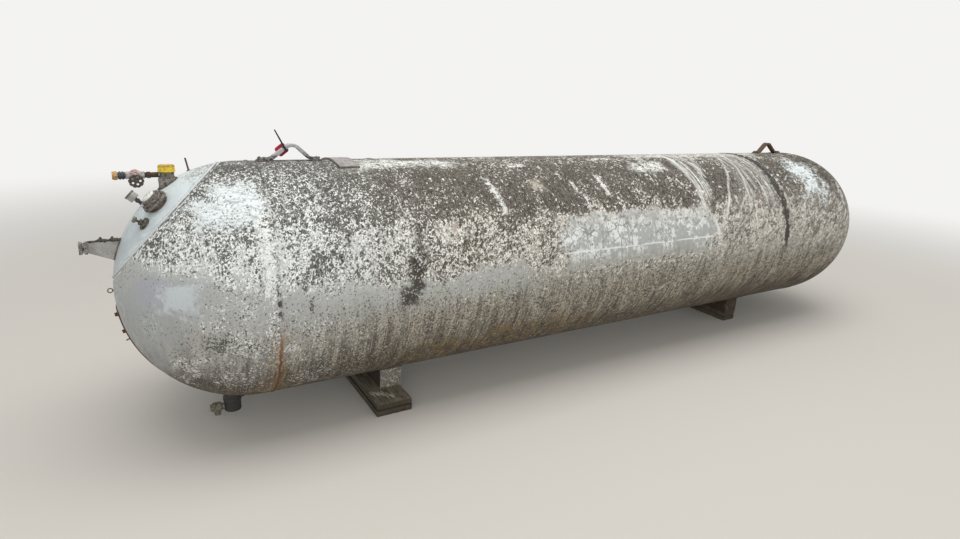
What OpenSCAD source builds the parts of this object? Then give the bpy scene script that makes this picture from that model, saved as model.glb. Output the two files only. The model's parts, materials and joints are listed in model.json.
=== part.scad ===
// Horizontal pressure tank: a welded steel cylinder with two domed heads, lying on two
// saddles, with its valves and gauges on the near head. X runs along the tank, the valve end
// is at -X, and the ground under the boards is at Z = 0.

/* [Tank shell] */
// Outside diameter of the tank
tank_d = 1041.4; // [800:1:1300]
// Length between the two head centres
tangent_len = 3823; // [3000:1:5200]
// Wall of the cylindrical courses
shell_t = 7.1; // [5:0.1:12]
// Wall of the domed heads
head_t = 5.3; // [4:0.1:7]
// Straight flange of each head, beyond its dome
head_flange = 25; // [15:1:60]
// Distance of each round seam from its nearest head centre
course_end = 598; // [500:1:750]

/* [Welds] */
// Width of the girth weld beads
bead_w = 11; // [6:0.5:16]
// Height of the weld crown above the shell
bead_crown = 2.5; // [1:0.1:4]

/* [Saddles and boards] */
// Height of a saddle's foot below the belly of the shell
saddle_under = 59.3; // [40:0.1:200]
// Width of a saddle along the tank
saddle_w = 112; // [80:1:160]
// How far a saddle's middle sits inward of the round seam over it
saddle_in = 8; // [0:1:16]
// Length of a saddle across the tank
saddle_l = 420; // [300:1:600]
// Steel thickness of a saddle
saddle_t = 6; // [4:0.5:10]
// Thickness of one packing board
board_t = 30; // [20:1:50]
// Length of the near boards across the tank
board_l = 740; // [500:1:900]
// Width of the near boards along the tank
board_w = 180; // [150:1:240]
// How far the near boards sit toward the near head, off the saddle's middle
board_shift = 44; // [0:1:50]
// How far the upper near board is set back from the lower one
board_step = 6; // [0:1:15]

/* [Lifting lugs] */
// Distance of each lug's middle from its nearest head centre
lug_pos = 217; // [180:1:320]
// Thickness of the bent lug bar
lug_t = 15; // [10:1:24]
// Width of the lug bar across the tank
lug_w = 32; // [20:1:60]
// Height of the lug's top over its feet, between the middles of the bar
lug_rise = 59; // [40:1:100]
// Length of the lug's foot on its head's side
lug_foot = 52; // [36:1:60]
// Length of the lug's other foot
lug_foot_in = 40; // [36:1:60]
// Run along the tank of the sloping leg on the head's side
lug_run = 78; // [60:1:110]
// Run along the tank of the other leg
lug_run_in = 64; // [60:1:110]
// Distance between the two upper corners of the lug, before they are bent
lug_top = 32; // [28:1:80]
// Radius of the bends, to the middle of the bar
lug_bend = 36; // [20:1:36]

/* [Top pad] */
// Where the pad starts, from the near head centre
pad_x = 388; // [380:1:440]
// Length of the pad along the tank
pad_l = 91; // [60:1:140]
// Width of the pad across the tank, measured straight
pad_w = 280; // [120:1:400]
// Thickness of the pad
pad_t = 8; // [4:0.5:12]

/* [Fill nozzle and cap] */
// Elevation of the fill nozzle on the near head, in degrees
fill_el = 56.8; // [54:0.1:60]
// Diameter of the fill nozzle
fill_d = 66; // [60:1:84]
// Height of the nozzle's top over the head, on its own axis
fill_h = 25; // [20:1:60]
// Diameter of the valve body above the nozzle
fill_body_d = 56; // [44:1:64]
// Height of the valve body
fill_body_h = 24; // [24:1:40]
// Diameter of the ring at the valve body's foot
fill_ring_d = 62; // [58:1:68]
// Height of the ring at the valve body's foot
fill_ring_h = 4; // [2:0.5:6]
// Diameter of the yellow cap
cap_d = 65; // [62:1:90]
// Height of the yellow cap
cap_h = 28; // [20:1:40]

/* [Outlet valve] */
// Diameter of the outlet pipe
nipple_d = 22; // [16:1:23]
// Length of the outlet pipe outside the valve body
nipple_l = 51; // [40:1:70]
// Length of the six-sided collar on the outlet pipe, and of those on the valve
collar_l = 14; // [8:1:18]
// Diameter of the round valve body
globe_d = 46; // [38:1:60]
// Length of the valve body between its two ends
globe_l = 66; // [50:1:80]
// Height of the valve's bonnet over its body
bonnet_h = 16; // [10:1:22]
// Height of the packing nut over the bonnet
packing_h = 10; // [6:1:14]
// Lean of the valve stem below level
stem_lean = 9; // [0:1:20]
// Diameter of the valve stem
stem_d = 9; // [6:0.5:12]
// Distance of the handwheel's middle from the pipe's axis
wheel_out = 76; // [70:1:95]
// Diameter of the handwheel
wheel_d = 55; // [50:1:76]
// Thickness of the handwheel's rim
wheel_t = 9; // [6:0.5:12]
// Number of holes round the handwheel
wheel_holes = 5; // [3:1:7]
// Diameter of the dark hose coupling
coupling_d = 33; // [26:1:40]
// Length of the dark hose coupling
coupling_l = 28; // [20:1:40]
// Diameter of the brass end nut
nut_d = 37; // [30:1:44]
// Length of the brass end nut
nut_l = 18; // [12:1:26]

/* [Float gauge] */
// Elevation of the float gauge's foot on the near head, in degrees
float_el = 48.5; // [46:0.5:51]
// Offset of the float gauge toward the near side
float_y = 130; // [110:1:150]
// Elevation that the float gauge's axis points at, in degrees
float_aim = 46; // [42:0.5:50]
// Turn of the float gauge's axis toward the near side, in degrees
float_turn = 7; // [0:0.5:14]
// Diameter of the gauge's lower flange
float_flange_d = 104; // [90:1:120]
// Thickness of the lower flange
float_flange_t = 12; // [8:1:20]
// Height of the neck under the lower flange, at its middle
float_neck_h = 8; // [6:1:25]
// Diameter of the gauge body
float_body_d = 80; // [70:1:92]
// Height of the gauge body
float_body_h = 23; // [15:1:40]
// Diameter of the gauge's dial
float_dial_d = 52; // [40:1:60]
// Height of the dial over the body
float_dial_h = 9; // [5:1:16]
// Number of bolts round the gauge body
float_bolts = 8; // [4:1:8]
// Size of the bolts, across the flats of their heads
float_bolt_af = 14; // [10:1:16]

/* [Pressure gauge] */
// Elevation of the pressure gauge on the near head, in degrees
press_el = 41.5; // [38:0.5:44]
// Turn of the pressure gauge toward the far side, in degrees
press_az = 11; // [9:0.5:18]
// Diameter of the gauge's stem
press_stem_d = 16; // [10:1:22]
// Length of the gauge's stem
press_stem_l = 29; // [20:1:40]
// Diameter of the gauge case
press_d = 45; // [38:1:60]
// Depth of the gauge case
press_h = 32; // [20:1:40]

/* [Bleeder valve] */
// Elevation of the bleeder's foot on the near head, in degrees
bleed_el = 38.5; // [36:0.5:40]
// Offset of the bleeder toward the near side
bleed_y = 158; // [140:1:175]
// Elevation that the bleeder's axis points at, in degrees
bleed_aim = 30; // [24:0.5:40]
// Diameter of the bleeder's body
bleed_d = 28; // [22:1:34]
// Height of the bleeder's body
bleed_h = 20; // [16:1:30]
// Length of the bleeder's spindle above its body
bleed_spindle = 11; // [8:1:24]
// Diameter of the bleeder's knob
bleed_knob_d = 24; // [18:1:32]
// Thickness of the bleeder's knob
bleed_knob_h = 12; // [8:1:18]
// Diameter of the bleeder's wide foot
bleed_foot_d = 50; // [36:1:60]
// Height of the bleeder's wide foot, at its middle
bleed_foot_h = 8; // [5:1:12]
// Turn of the bleeder's axis toward the near side, in degrees
bleed_turn = 4; // [0:0.5:14]

/* [Head stud] */
// Elevation of the stud on the near head, in degrees
stud_el = 66; // [62:0.5:68]
// Turn of the stud toward the far side, in degrees
stud_az = 22; // [15:0.5:30]
// Elevation that the stud points at, in degrees
stud_aim = 79; // [60:1:85]
// Diameter of the stud
stud_d = 8; // [6:1:16]
// Length of the stud
stud_l = 54; // [40:1:80]

/* [Hood rim] */
// Elevation of the rim's centre on the near head, in degrees
rim_el = 42; // [40:0.5:44]
// Turn of the rim's centre toward the far side, in degrees
rim_az = 14; // [0:0.5:16]
// Half the angle that the rim spans on the head, in degrees
rim_half = 37; // [34:0.5:38]
// Radius of the rim's bead
rim_r = 5; // [3:0.5:7]

/* [End bracket] */
// Reach of the bracket ahead of the head's pole
bracket_reach = 97; // [70:1:140]
// Elevation of the bracket's top edge on the near head, in degrees
bracket_el = 24.5; // [20:0.5:27]
// Depth of the bracket's web at the head
bracket_root = 78; // [70:1:95]
// Depth of the bracket's web at its end
bracket_tip = 42; // [34:1:50]
// Plate thickness of the bracket
bracket_t = 8; // [5:0.5:10]
// Width of the bracket's top flange
bracket_flange = 34; // [26:1:50]
// Offset of the web from the tank's middle plane
bracket_y = -6; // [-12:1:0]
// Side of the two square clamp plates at the end
clamp_side = 44; // [34:1:48]
// Thickness of a clamp plate
clamp_t = 12; // [8:1:13]
// Free gap between the two clamp plates
clamp_gap = 6; // [4:1:8]

/* [End ring, plate and plugs] */
// Outside diameter of the small ring on the head's pole
ring_d = 22; // [18:1:30]
// Wire thickness of the ring
ring_wire = 4; // [3:0.5:5]
// Length of the ring's shank
ring_shank = 3; // [3:1:8]
// Height of the ring over the tank's axis
ring_up = 8; // [0:1:20]
// Lowest elevation of the curved end plate, in degrees
end_low = -44; // [-46:1:-40]
// Highest elevation of the curved end plate, in degrees
end_high = -7; // [-10:0.5:-4]
// Width of the curved end plate
end_w = 150; // [110:1:220]
// Thickness of the curved end plate
end_t = 4; // [3:0.5:10]
// Diameter of the plugs on the end plate
plug_d = 18; // [12:1:24]
// Height of the plugs
plug_h = 11; // [8:1:20]
// Diameter of the thin pin below the plugs
pin_d = 5; // [3:0.5:8]
// Length of the thin pin outside the plate
pin_l = 16; // [8:1:24]

/* [Drain] */
// Distance of the drain from the near head centre
drain_x = 118; // [100:1:140]
// Offset of the drain toward the near side
drain_y = 100; // [80:1:120]
// Diameter of the drain coupling
drain_d = 72; // [60:1:84]
// Reach of the coupling below the belly of the tank
drain_under = 61; // [52:1:66]
// Diameter of the drain valve's body
drain_valve_d = 46; // [36:1:56]
// Length of the drain valve's body
drain_valve_l = 58; // [44:1:70]
// Length of the drain valve's outlet spout
drain_spout_l = 38; // [30:1:42]
// Diameter of the spout
drain_spout_d = 28; // [20:1:34]

/* [Tag and tie] */
// Where the tag hangs on the lug's leg, from its foot, as a share
tag_at = 0.62; // [0.5:0.01:0.68]
// Length of the red tag across the lug bar
tag_l = 46; // [36:1:60]
// Width of the red tag along the lug bar
tag_w = 50; // [44:1:54]
// Thickness of the red tag
tag_t = 1.6; // [1:0.1:3]
// Distance of the tie from the tag's middle, up the leg
tie_up = 14; // [4:1:16]
// Width of the tie's strap
tie_w = 4.5; // [4:0.5:8]
// Thickness of the tie's strap
tie_t = 1.8; // [1.2:0.1:3]
// Free length of the tie's tail
tie_tail = 104; // [60:1:120]
// Lean of the tail away from the strap's own plane, in degrees
tie_lean = 10; // [0:1:20]

/* [Clearances] */
// Gap left where a piece seats on a curved wall
seat = 0.3; // [0.2:0.05:0.4]
// Radial running clearance of the valve stem
run_clear = 0.1; // [0.05:0.01:0.2]

/* [Hidden] */
$fn = 96;
bend_steps = 7;
tank_r = tank_d / 2;
far_reach = tangent_len + tank_r;
near_reach = tank_r + bracket_reach;
x0 = (near_reach - far_reach) / 2;
saddle_drop = tank_r + saddle_under;
saddle_x = course_end + saddle_in;
axis_z = saddle_drop + 2 * board_t;
lug_base = tank_r + seat;
lug_low = lug_t / 2;
lug_slope = atan2(lug_rise, lug_run);
lug_leg = norm([lug_run, lug_rise]);
fill_x = tank_r * cos(fill_el);
fill_top = tank_r * sin(fill_el) + fill_h;
outlet_z = fill_top + fill_body_h / 2;
nipple_x = fill_x + fill_body_d / 2;
globe_x = nipple_x + nipple_l + globe_l / 2;
coupling_x = globe_x + globe_l / 2;
nut_x = coupling_x + coupling_l;
bonnet_out = globe_d / 2 + bonnet_h;
packing_out = bonnet_out + packing_h;
float_r = sqrt(tank_r * tank_r - float_y * float_y);
body_base = float_neck_h + float_flange_t;
dial_base = body_base + float_body_h;
bolt_circle = (float_body_d + float_flange_d) / 4;
bolt_room = (float_flange_d - float_body_d) / 2 - 1;
bleed_r = sqrt(tank_r * tank_r - bleed_y * bleed_y);
bracket_top = tank_r * sin(bracket_el);
bracket_end = near_reach - 2 * clamp_t - clamp_gap;
bracket_in = tank_r * 0.8;
drain_drop = tank_r + drain_under;

// The tank's own frame: origin at the near head's centre, on the axis
module in_tank() {
    translate([x0, 0, axis_z])
        children();
}

// Local +Z stands square out of the near head at an elevation and a turn, in degrees
module on_head(el, az) {
    in_tank()
        rotate([0, 0, -az])
            rotate([0, el - 90, 0])
                children();
}

// Local +Z runs up and ahead from a foot on the head, at an offset to the near side
module on_head_offset(el, y, r, aim, turn) {
    in_tank()
        translate([-r * cos(el), -y, r * sin(el)])
            rotate([0, aim - 90, turn])
                children();
}

module head_ball(r) {
    sphere(r = r, $fn = 160);
}

module along_x(x, len, d) {
    translate([x, 0, 0])
        rotate([0, 90, 0])
            cylinder(d = d, h = len, $fn = 160);
}

module shell_course(x, len) {
    in_tank()
        difference() {
            along_x(x, len, tank_d);
            along_x(x - 1, len + 2, tank_d - 2 * shell_t);
        }
}

// A domed head with its straight flange, opening toward +Z before it is turned
module dome() {
    rotate_extrude($fn = 160)
        difference() {
            union() {
                intersection() {
                    circle(r = tank_r);
                    translate([0, -tank_r])
                        square([tank_r, tank_r]);
                }
                square([tank_r, head_flange]);
            }
            circle(r = tank_r - head_t);
            translate([0, -0.01])
                square([tank_r - head_t, head_flange + 1]);
        }
}

// A girth weld bead between two courses, flush inside and crowned outside
module weld_bead(x, wall) {
    in_tank()
        translate([x, 0, 0])
            rotate([0, 90, 0])
                rotate_extrude($fn = 160)
                    polygon([
                        [tank_r - wall, -bead_w / 2],
                        [tank_r, -bead_w / 2],
                        [tank_r + bead_crown, -bead_w / 5],
                        [tank_r + bead_crown, bead_w / 5],
                        [tank_r, bead_w / 2],
                        [tank_r - wall, bead_w / 2]
                    ]);
}

module shell_near() {
    color("#a9aca9")
        shell_course(head_flange + bead_w, course_end - head_flange - 1.5 * bead_w);
}

module shell_middle() {
    color("#a4a7a4")
        shell_course(course_end + bead_w / 2, tangent_len - 2 * course_end - bead_w);
}

module shell_far() {
    color("#a9aca9")
        shell_course(tangent_len - course_end + bead_w / 2,
            course_end - head_flange - 1.5 * bead_w);
}

module head_near() {
    color("#b4b8b6")
        in_tank()
            rotate([0, 90, 0])
                dome();
}

module head_far() {
    color("#adb0ae")
        in_tank()
            translate([tangent_len, 0, 0])
                rotate([0, -90, 0])
                    dome();
}

module weld_head_near() {
    color("#6f6a61")
        weld_bead(head_flange + bead_w / 2, head_t);
}

module weld_near() {
    color("#6f6a61")
        weld_bead(course_end, shell_t);
}

module weld_far() {
    color("#4e4c47")
        weld_bead(tangent_len - course_end, shell_t);
}

module weld_head_far() {
    color("#6f6a61")
        weld_bead(tangent_len - head_flange - bead_w / 2, head_t);
}

// Raised half-round rim that carried the valve hood
module hood_rim() {
    color("#c3c8c8")
        on_head(rim_el, rim_az)
            rotate_extrude($fn = 160)
                difference() {
                    rotate(90 - rim_half)
                        translate([tank_r, 0])
                            circle(r = rim_r, $fn = 32);
                    circle(r = tank_r + seat);
                }
}

// Points along an arc, for a bend in a bar
function arc_points(centre, r, from, to) =
    [for (i = [0 : bend_steps]) let (a = from + (to - from) * i / bend_steps)
        centre + r * [cos(a), sin(a)]];

// One half of a lug's side outline, over the top, down the leg and back under the bar
function lug_half(run, foot) =
    let (
        slope = atan2(lug_rise, run),
        cut = lug_bend * tan(slope / 2),
        upper = [lug_top / 2 - cut, lug_low + lug_rise - lug_bend],
        lower = [lug_top / 2 + run + cut, lug_low + lug_bend],
        foot_end = lug_top / 2 + run + foot
    )
    concat(
        arc_points(upper, lug_bend + lug_low, 90, 90 - slope),
        arc_points(lower, lug_bend - lug_low, 270 - slope, 270),
        [[foot_end, lug_t], [foot_end, 0]],
        arc_points(lower, lug_bend + lug_low, 270, 270 - slope),
        arc_points(upper, lug_bend - lug_low, 90 - slope, 90)
    );

// Side outline of a lifting lug, bent from one flat bar
module lug_outline() {
    inner = lug_half(lug_run_in, lug_foot_in);
    outer = lug_half(lug_run, lug_foot);
    last = len(outer) - 1;
    polygon(concat(inner, [for (i = [0 : last]) [-outer[last - i][0], outer[last - i][1]]]));
}

module lifting_lug(x) {
    in_tank()
        translate([x, 0, lug_base])
            rotate([90, 0, 0])
                linear_extrude(lug_w, center = true)
                    lug_outline();
}

module lifting_lug_near() {
    color("#b3b5b3")
        lifting_lug(lug_pos);
}

module lifting_lug_far() {
    color("#7a6047")
        translate([2 * x0 + tangent_len, 0, 0])
            mirror([1, 0, 0])
                lifting_lug(lug_pos);
}

module top_pad() {
    color("#a39b95")
        in_tank()
            intersection() {
                difference() {
                    along_x(pad_x, pad_l, tank_d + 2 * seat + 2 * pad_t);
                    along_x(pad_x - 1, pad_l + 2, tank_d + 2 * seat);
                }
                translate([pad_x - 2, -pad_w / 2, 0])
                    cube([pad_l + 4, pad_w, tank_d]);
            }
}

// A formed steel saddle: four upright walls on a foot plate, cut to the curve of the shell
module saddle(x, seam_x) {
    in_tank()
        difference() {
            translate([x - saddle_w / 2, -saddle_l / 2, -saddle_drop])
                cube([saddle_w, saddle_l, saddle_drop - tank_r / 2]);
            translate([x - saddle_w / 2 + saddle_t, -saddle_l / 2 + saddle_t,
                -saddle_drop + saddle_t])
                cube([saddle_w - 2 * saddle_t, saddle_l - 2 * saddle_t, saddle_drop]);
            along_x(x - saddle_w, 2 * saddle_w, tank_d + 2 * seat);
            along_x(seam_x - bead_w / 2 - 1, bead_w + 2,
                tank_d + 2 * bead_crown + 2 * seat);
        }
}

module saddle_near() {
    color("#8f8f8a")
        saddle(saddle_x, course_end);
}

module saddle_far() {
    color("#3f362d")
        saddle(tangent_len - saddle_x, tangent_len - course_end);
}

module board(x, w, l, level, back) {
    in_tank()
        translate([x - w / 2 + back, -l / 2 + back, -saddle_drop - (2 - level) * board_t])
            cube([w - back, l - 2 * back, board_t]);
}

module board_near_lower() {
    color("#5c5140")
        board(saddle_x - board_shift, board_w, board_l, 0, 0);
}

module board_near_upper() {
    color("#6a5d48")
        board(saddle_x - board_shift, board_w, board_l, 1, board_step);
}

module board_far_lower() {
    color("#5c5140")
        board(tangent_len - saddle_x, saddle_w, saddle_l, 0, 0);
}

module board_far_upper() {
    color("#6a5d48")
        board(tangent_len - saddle_x, saddle_w, saddle_l, 1, 0);
}

module at_fill() {
    in_tank()
        translate([-fill_x, 0, 0])
            children();
}

// Upright nozzle on the near head, cut to the dome
module fill_nozzle() {
    color("#6d665b")
        difference() {
            at_fill()
                translate([0, 0, fill_top - fill_d * 1.6])
                    cylinder(d = fill_d, h = fill_d * 1.6);
            in_tank()
                head_ball(tank_r + seat);
        }
}

module fill_valve() {
    color("#4a4540")
        at_fill()
            translate([0, 0, fill_top]) {
                cylinder(d = fill_body_d, h = fill_body_h);
                cylinder(d = fill_ring_d, h = fill_ring_h);
            }
}

module fill_cap() {
    color("#e2c012")
        at_fill()
            translate([0, 0, fill_top + fill_body_h])
                difference() {
                    union() {
                        cylinder(d = cap_d, h = cap_h - 6);
                        cylinder(d = cap_d - 8, h = cap_h);
                    }
                    for (i = [0 : 11])
                        rotate(i * 30)
                            translate([cap_d / 2 + 1, 0, -1])
                                cylinder(d = 7, h = cap_h + 2, $fn = 24);
                }
}

// Local +Z runs out along the outlet pipe, away from the tank
module outlet_at(x) {
    in_tank()
        translate([-x, 0, outlet_z])
            rotate([0, -90, 0])
                children();
}

module outlet_nipple() {
    color("#3c2419")
        difference() {
            outlet_at(fill_x) {
                cylinder(d = nipple_d, h = fill_body_d / 2 + nipple_l);
                translate([0, 0, fill_body_d / 2 + nipple_l - collar_l * 1.5])
                    cylinder(d = nipple_d * 1.3, h = collar_l, $fn = 6);
            }
            at_fill()
                translate([0, 0, fill_top - fill_body_h]) {
                    cylinder(d = fill_body_d + 2 * seat, h = 3 * fill_body_h);
                    cylinder(d = fill_ring_d + 2 * seat, h = fill_body_h + fill_ring_h + seat);
                }
        }
}

// Local +Z runs along the valve's stem, toward the near side and a little down
module stem_at() {
    in_tank()
        translate([-globe_x, 0, outlet_z])
            rotate([90 + stem_lean, 0, 0])
                children();
}

module globe_valve() {
    color("#8d7a72") {
        outlet_at(globe_x - globe_l / 2) {
            cylinder(d = nipple_d * 1.45, h = collar_l, $fn = 6);
            translate([0, 0, globe_l - collar_l])
                cylinder(d = nipple_d * 1.45, h = collar_l, $fn = 6);
            cylinder(d = nipple_d * 1.15, h = globe_l);
        }
        stem_at()
            translate([0, 0, -globe_d / 2 + 4])
                cylinder(d = globe_d, h = globe_d - 4);
    }
}

module valve_bonnet() {
    color("#6b635c")
        stem_at()
            difference() {
                union() {
                    translate([0, 0, globe_d / 2])
                        cylinder(d = globe_d * 0.72, h = bonnet_out - globe_d / 2, $fn = 6);
                    translate([0, 0, bonnet_out])
                        cylinder(d = globe_d * 0.48, h = packing_out - bonnet_out, $fn = 6);
                }
                translate([0, 0, globe_d / 2 + 4])
                    cylinder(d = stem_d + 2 * run_clear, h = wheel_out);
            }
}

// Handwheel and its stem: a ribbed rim on a web with round holes
module handwheel() {
    color("#5b4a3e")
        stem_at() {
            translate([0, 0, globe_d / 2 + 5])
                cylinder(d = stem_d, h = wheel_out - globe_d / 2 + 5);
            translate([0, 0, wheel_out - wheel_t / 2])
                difference() {
                    cylinder(d = wheel_d, h = wheel_t);
                    translate([0, 0, wheel_t * 0.55])
                        difference() {
                            cylinder(d = wheel_d - 14, h = wheel_t);
                            cylinder(d = wheel_d * 0.27, h = wheel_t);
                        }
                    for (i = [0 : wheel_holes - 1])
                        rotate(i * 360 / wheel_holes)
                            translate([wheel_d * 0.255, 0, -1])
                                cylinder(d = wheel_d * 0.17, h = wheel_t + 2, $fn = 32);
                    for (i = [0 : 9])
                        rotate(i * 36 + 18)
                            translate([wheel_d / 2 + 1.5, 0, -1])
                                cylinder(d = 8, h = wheel_t + 2, $fn = 24);
                }
            translate([0, 0, wheel_out + wheel_t / 2])
                cylinder(d = stem_d * 1.5, h = 4, $fn = 6);
        }
}

module hose_coupling() {
    color("#26303a")
        outlet_at(coupling_x)
            difference() {
                union() {
                    cylinder(d = coupling_d * 0.8, h = coupling_l);
                    translate([0, 0, 6])
                        cylinder(d = coupling_d, h = coupling_l - 12);
                }
                translate([0, 0, coupling_l / 2])
                    rotate_extrude()
                        translate([coupling_d / 2 + 1, 0])
                            circle(r = 3, $fn = 24);
            }
}

module brass_nut() {
    color("#c8842c")
        outlet_at(nut_x)
            difference() {
                union() {
                    cylinder(d = nut_d, h = nut_l * 0.7, $fn = 6);
                    cylinder(d = nut_d * 0.84, h = nut_l);
                }
                translate([0, 0, nut_l - 8])
                    cylinder(d = nut_d * 0.5, h = 9);
            }
}

module at_float(h) {
    on_head_offset(float_el, float_y, float_r, float_aim, float_turn)
        translate([0, 0, h])
            children();
}

module float_gauge_flange() {
    color("#5d564d")
        difference() {
            union() {
                at_float(-float_flange_d / 4)
                    cylinder(d = float_body_d * 0.9,
                        h = float_flange_d / 4 + float_neck_h + float_flange_t / 2);
                at_float(float_neck_h)
                    cylinder(d = float_flange_d, h = float_flange_t);
            }
            in_tank()
                head_ball(tank_r + seat);
        }
}

module float_gauge_body() {
    color("#544c43")
        at_float(body_base) {
            cylinder(d = float_body_d, h = float_body_h * 0.45);
            cylinder(d = float_body_d * 0.84, h = float_body_h);
        }
}

module float_gauge_dial() {
    color("#e9e6da")
        at_float(dial_base)
            cylinder(d1 = float_dial_d, d2 = float_dial_d * 0.85, h = float_dial_h);
}

module float_gauge_bolts() {
    color("#463b31")
        at_float(body_base)
            for (i = [0 : float_bolts - 1])
                rotate((i + 0.5) * 360 / float_bolts)
                    translate([bolt_circle, 0, 0])
                        cylinder(d = min(float_bolt_af, bolt_room), h = float_bolt_af / 2,
                            $fn = 6);
}

module at_press(h) {
    on_head(press_el, press_az)
        translate([0, 0, tank_r + h])
            children();
}

module pressure_gauge_stem() {
    color("#2e2f28")
        difference() {
            at_press(-6) {
                cylinder(d = press_stem_d, h = press_stem_l + 6);
                translate([0, 0, 6 + press_stem_l * 0.5])
                    cylinder(d = press_stem_d * 1.35, h = 9, $fn = 6);
            }
            in_tank()
                head_ball(tank_r + seat);
        }
}

module pressure_gauge_case() {
    color("#b9b7ab")
        at_press(press_stem_l)
            difference() {
                union() {
                    cylinder(d = press_d - 3, h = press_h);
                    translate([0, 0, press_h - 7])
                        cylinder(d = press_d, h = 7);
                }
                translate([0, 0, press_h - 3])
                    cylinder(d = press_d - 7, h = 4);
            }
}

module at_bleed(h) {
    on_head_offset(bleed_el, bleed_y, bleed_r, bleed_aim, bleed_turn)
        translate([0, 0, h])
            children();
}

module bleeder_valve() {
    color("#3a3d2c")
        difference() {
            at_bleed(-bleed_d) {
                cylinder(d = bleed_foot_d, h = bleed_d + bleed_foot_h);
                cylinder(d = bleed_d * 0.8, h = bleed_h + bleed_d);
                translate([0, 0, bleed_d + bleed_h * 0.55])
                    cylinder(d = bleed_d, h = bleed_h * 0.45, $fn = 6);
                translate([0, 0, bleed_h + bleed_d])
                    cylinder(d = bleed_d * 0.34, h = bleed_spindle);
            }
            in_tank()
                head_ball(tank_r + seat);
        }
}

module bleeder_knob() {
    color("#54483f")
        at_bleed(bleed_h + bleed_spindle)
            difference() {
                cylinder(d = bleed_knob_d, h = bleed_knob_h);
                for (i = [0 : 5])
                    rotate(i * 60)
                        translate([bleed_knob_d / 2 + 1, 0, -1])
                            cylinder(d = 7, h = bleed_knob_h + 2, $fn = 24);
            }
}

module head_stud() {
    color("#4b4334")
        difference() {
            on_head(stud_el, stud_az)
                translate([0, 0, tank_r])
                    rotate([0, stud_aim - stud_el, 0])
                        translate([0, 0, -stud_d])
                            cylinder(d = stud_d, h = stud_l + stud_d);
            in_tank()
                head_ball(tank_r + seat);
        }
}

// Tapered web with a top flange, welded to the head and reaching ahead of it
module end_bracket() {
    color("#8b8985")
        difference() {
            in_tank()
                translate([0, bracket_y, 0]) {
                    rotate([90, 0, 0])
                        linear_extrude(bracket_t)
                            polygon([
                                [-bracket_in, bracket_top],
                                [-bracket_end, bracket_top],
                                [-bracket_end, bracket_top - bracket_tip],
                                [-tank_r * 0.97, bracket_top - bracket_root],
                                [-bracket_in, bracket_top - bracket_root]
                            ]);
                    translate([-bracket_end, -bracket_t, bracket_top - bracket_t])
                        cube([bracket_end - bracket_in, bracket_flange, bracket_t]);
                }
            in_tank()
                head_ball(tank_r + seat);
        }
}

module bracket_clamp() {
    color("#9a978c")
        in_tank()
            translate([-near_reach, bracket_y - bracket_t / 2, bracket_top - bracket_tip / 2]) {
                for (i = [0, 1])
                    translate([i * (clamp_t + clamp_gap), -clamp_side / 2, -clamp_side / 2])
                        cube([clamp_t, clamp_side, clamp_side]);
                rotate([0, 90, 0])
                    cylinder(d = clamp_side * 0.36, h = 2 * clamp_t + clamp_gap);
            }
}

module bracket_bolts() {
    color("#59503f")
        in_tank()
            for (share = [0.28, 0.62])
                translate([-tank_r * 0.9 - share * (bracket_end - tank_r * 0.9),
                    bracket_y - bracket_t + bracket_flange / 2, bracket_top]) {
                    cylinder(d = 20, h = 9, $fn = 6);
                    cylinder(d = 10, h = 16);
                }
}

// Small wire ring standing on the pole of the near head
module end_ring() {
    color("#4f463b")
        difference() {
            in_tank()
                translate([-tank_r, 0, ring_up]) {
                    translate([-ring_shank - (ring_d - ring_wire) / 2, 0, 0])
                        rotate([90, 0, 0])
                            rotate_extrude()
                                translate([(ring_d - ring_wire) / 2, 0])
                                    circle(d = ring_wire, $fn = 24);
                    translate([-ring_shank - ring_wire / 2, 0, 0])
                        rotate([0, 90, 0])
                            cylinder(d = ring_wire * 1.5, h = ring_shank + ring_wire);
                }
            in_tank()
                head_ball(tank_r + seat);
        }
}

// Curved plate on the lower part of the near head
module end_plate() {
    color("#6e5140")
        in_tank()
            intersection() {
                difference() {
                    head_ball(tank_r + seat + end_t);
                    head_ball(tank_r + seat);
                }
                rotate([90, 0, 0])
                    linear_extrude(end_w, center = true)
                        polygon([
                            [0, 0],
                            [-2 * tank_r * cos(end_high), 2 * tank_r * sin(end_high)],
                            [-2 * tank_r * cos(end_low), 2 * tank_r * sin(end_low)]
                        ]);
            }
}

// Two plugs and a thin pin standing out of the curved plate
module end_plugs() {
    color("#574a37")
        difference() {
            union() {
                for (share = [0.07, 0.31])
                    on_head(end_high + share * (end_low - end_high), -3)
                        translate([0, 0, tank_r])
                            cylinder(d = plug_d, h = end_t + plug_h, $fn = 6);
                on_head(end_high + 0.43 * (end_low - end_high), -3)
                    translate([0, 0, tank_r])
                        cylinder(d = pin_d, h = end_t + pin_l);
            }
            in_tank()
                head_ball(tank_r + end_t + 2 * seat);
        }
}

module at_drain() {
    in_tank()
        translate([-drain_x, -drain_y, 0])
            children();
}

module drain_coupling() {
    color("#22252a")
        difference() {
            at_drain()
                translate([0, 0, -drain_drop]) {
                    cylinder(d = drain_d, h = drain_drop - tank_r * 0.8);
                    translate([0, 0, drain_valve_d + 4])
                        cylinder(d = drain_d * 1.1, h = drain_d / 4, $fn = 8);
                }
            in_tank()
                head_ball(tank_r + seat);
        }
}

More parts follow.
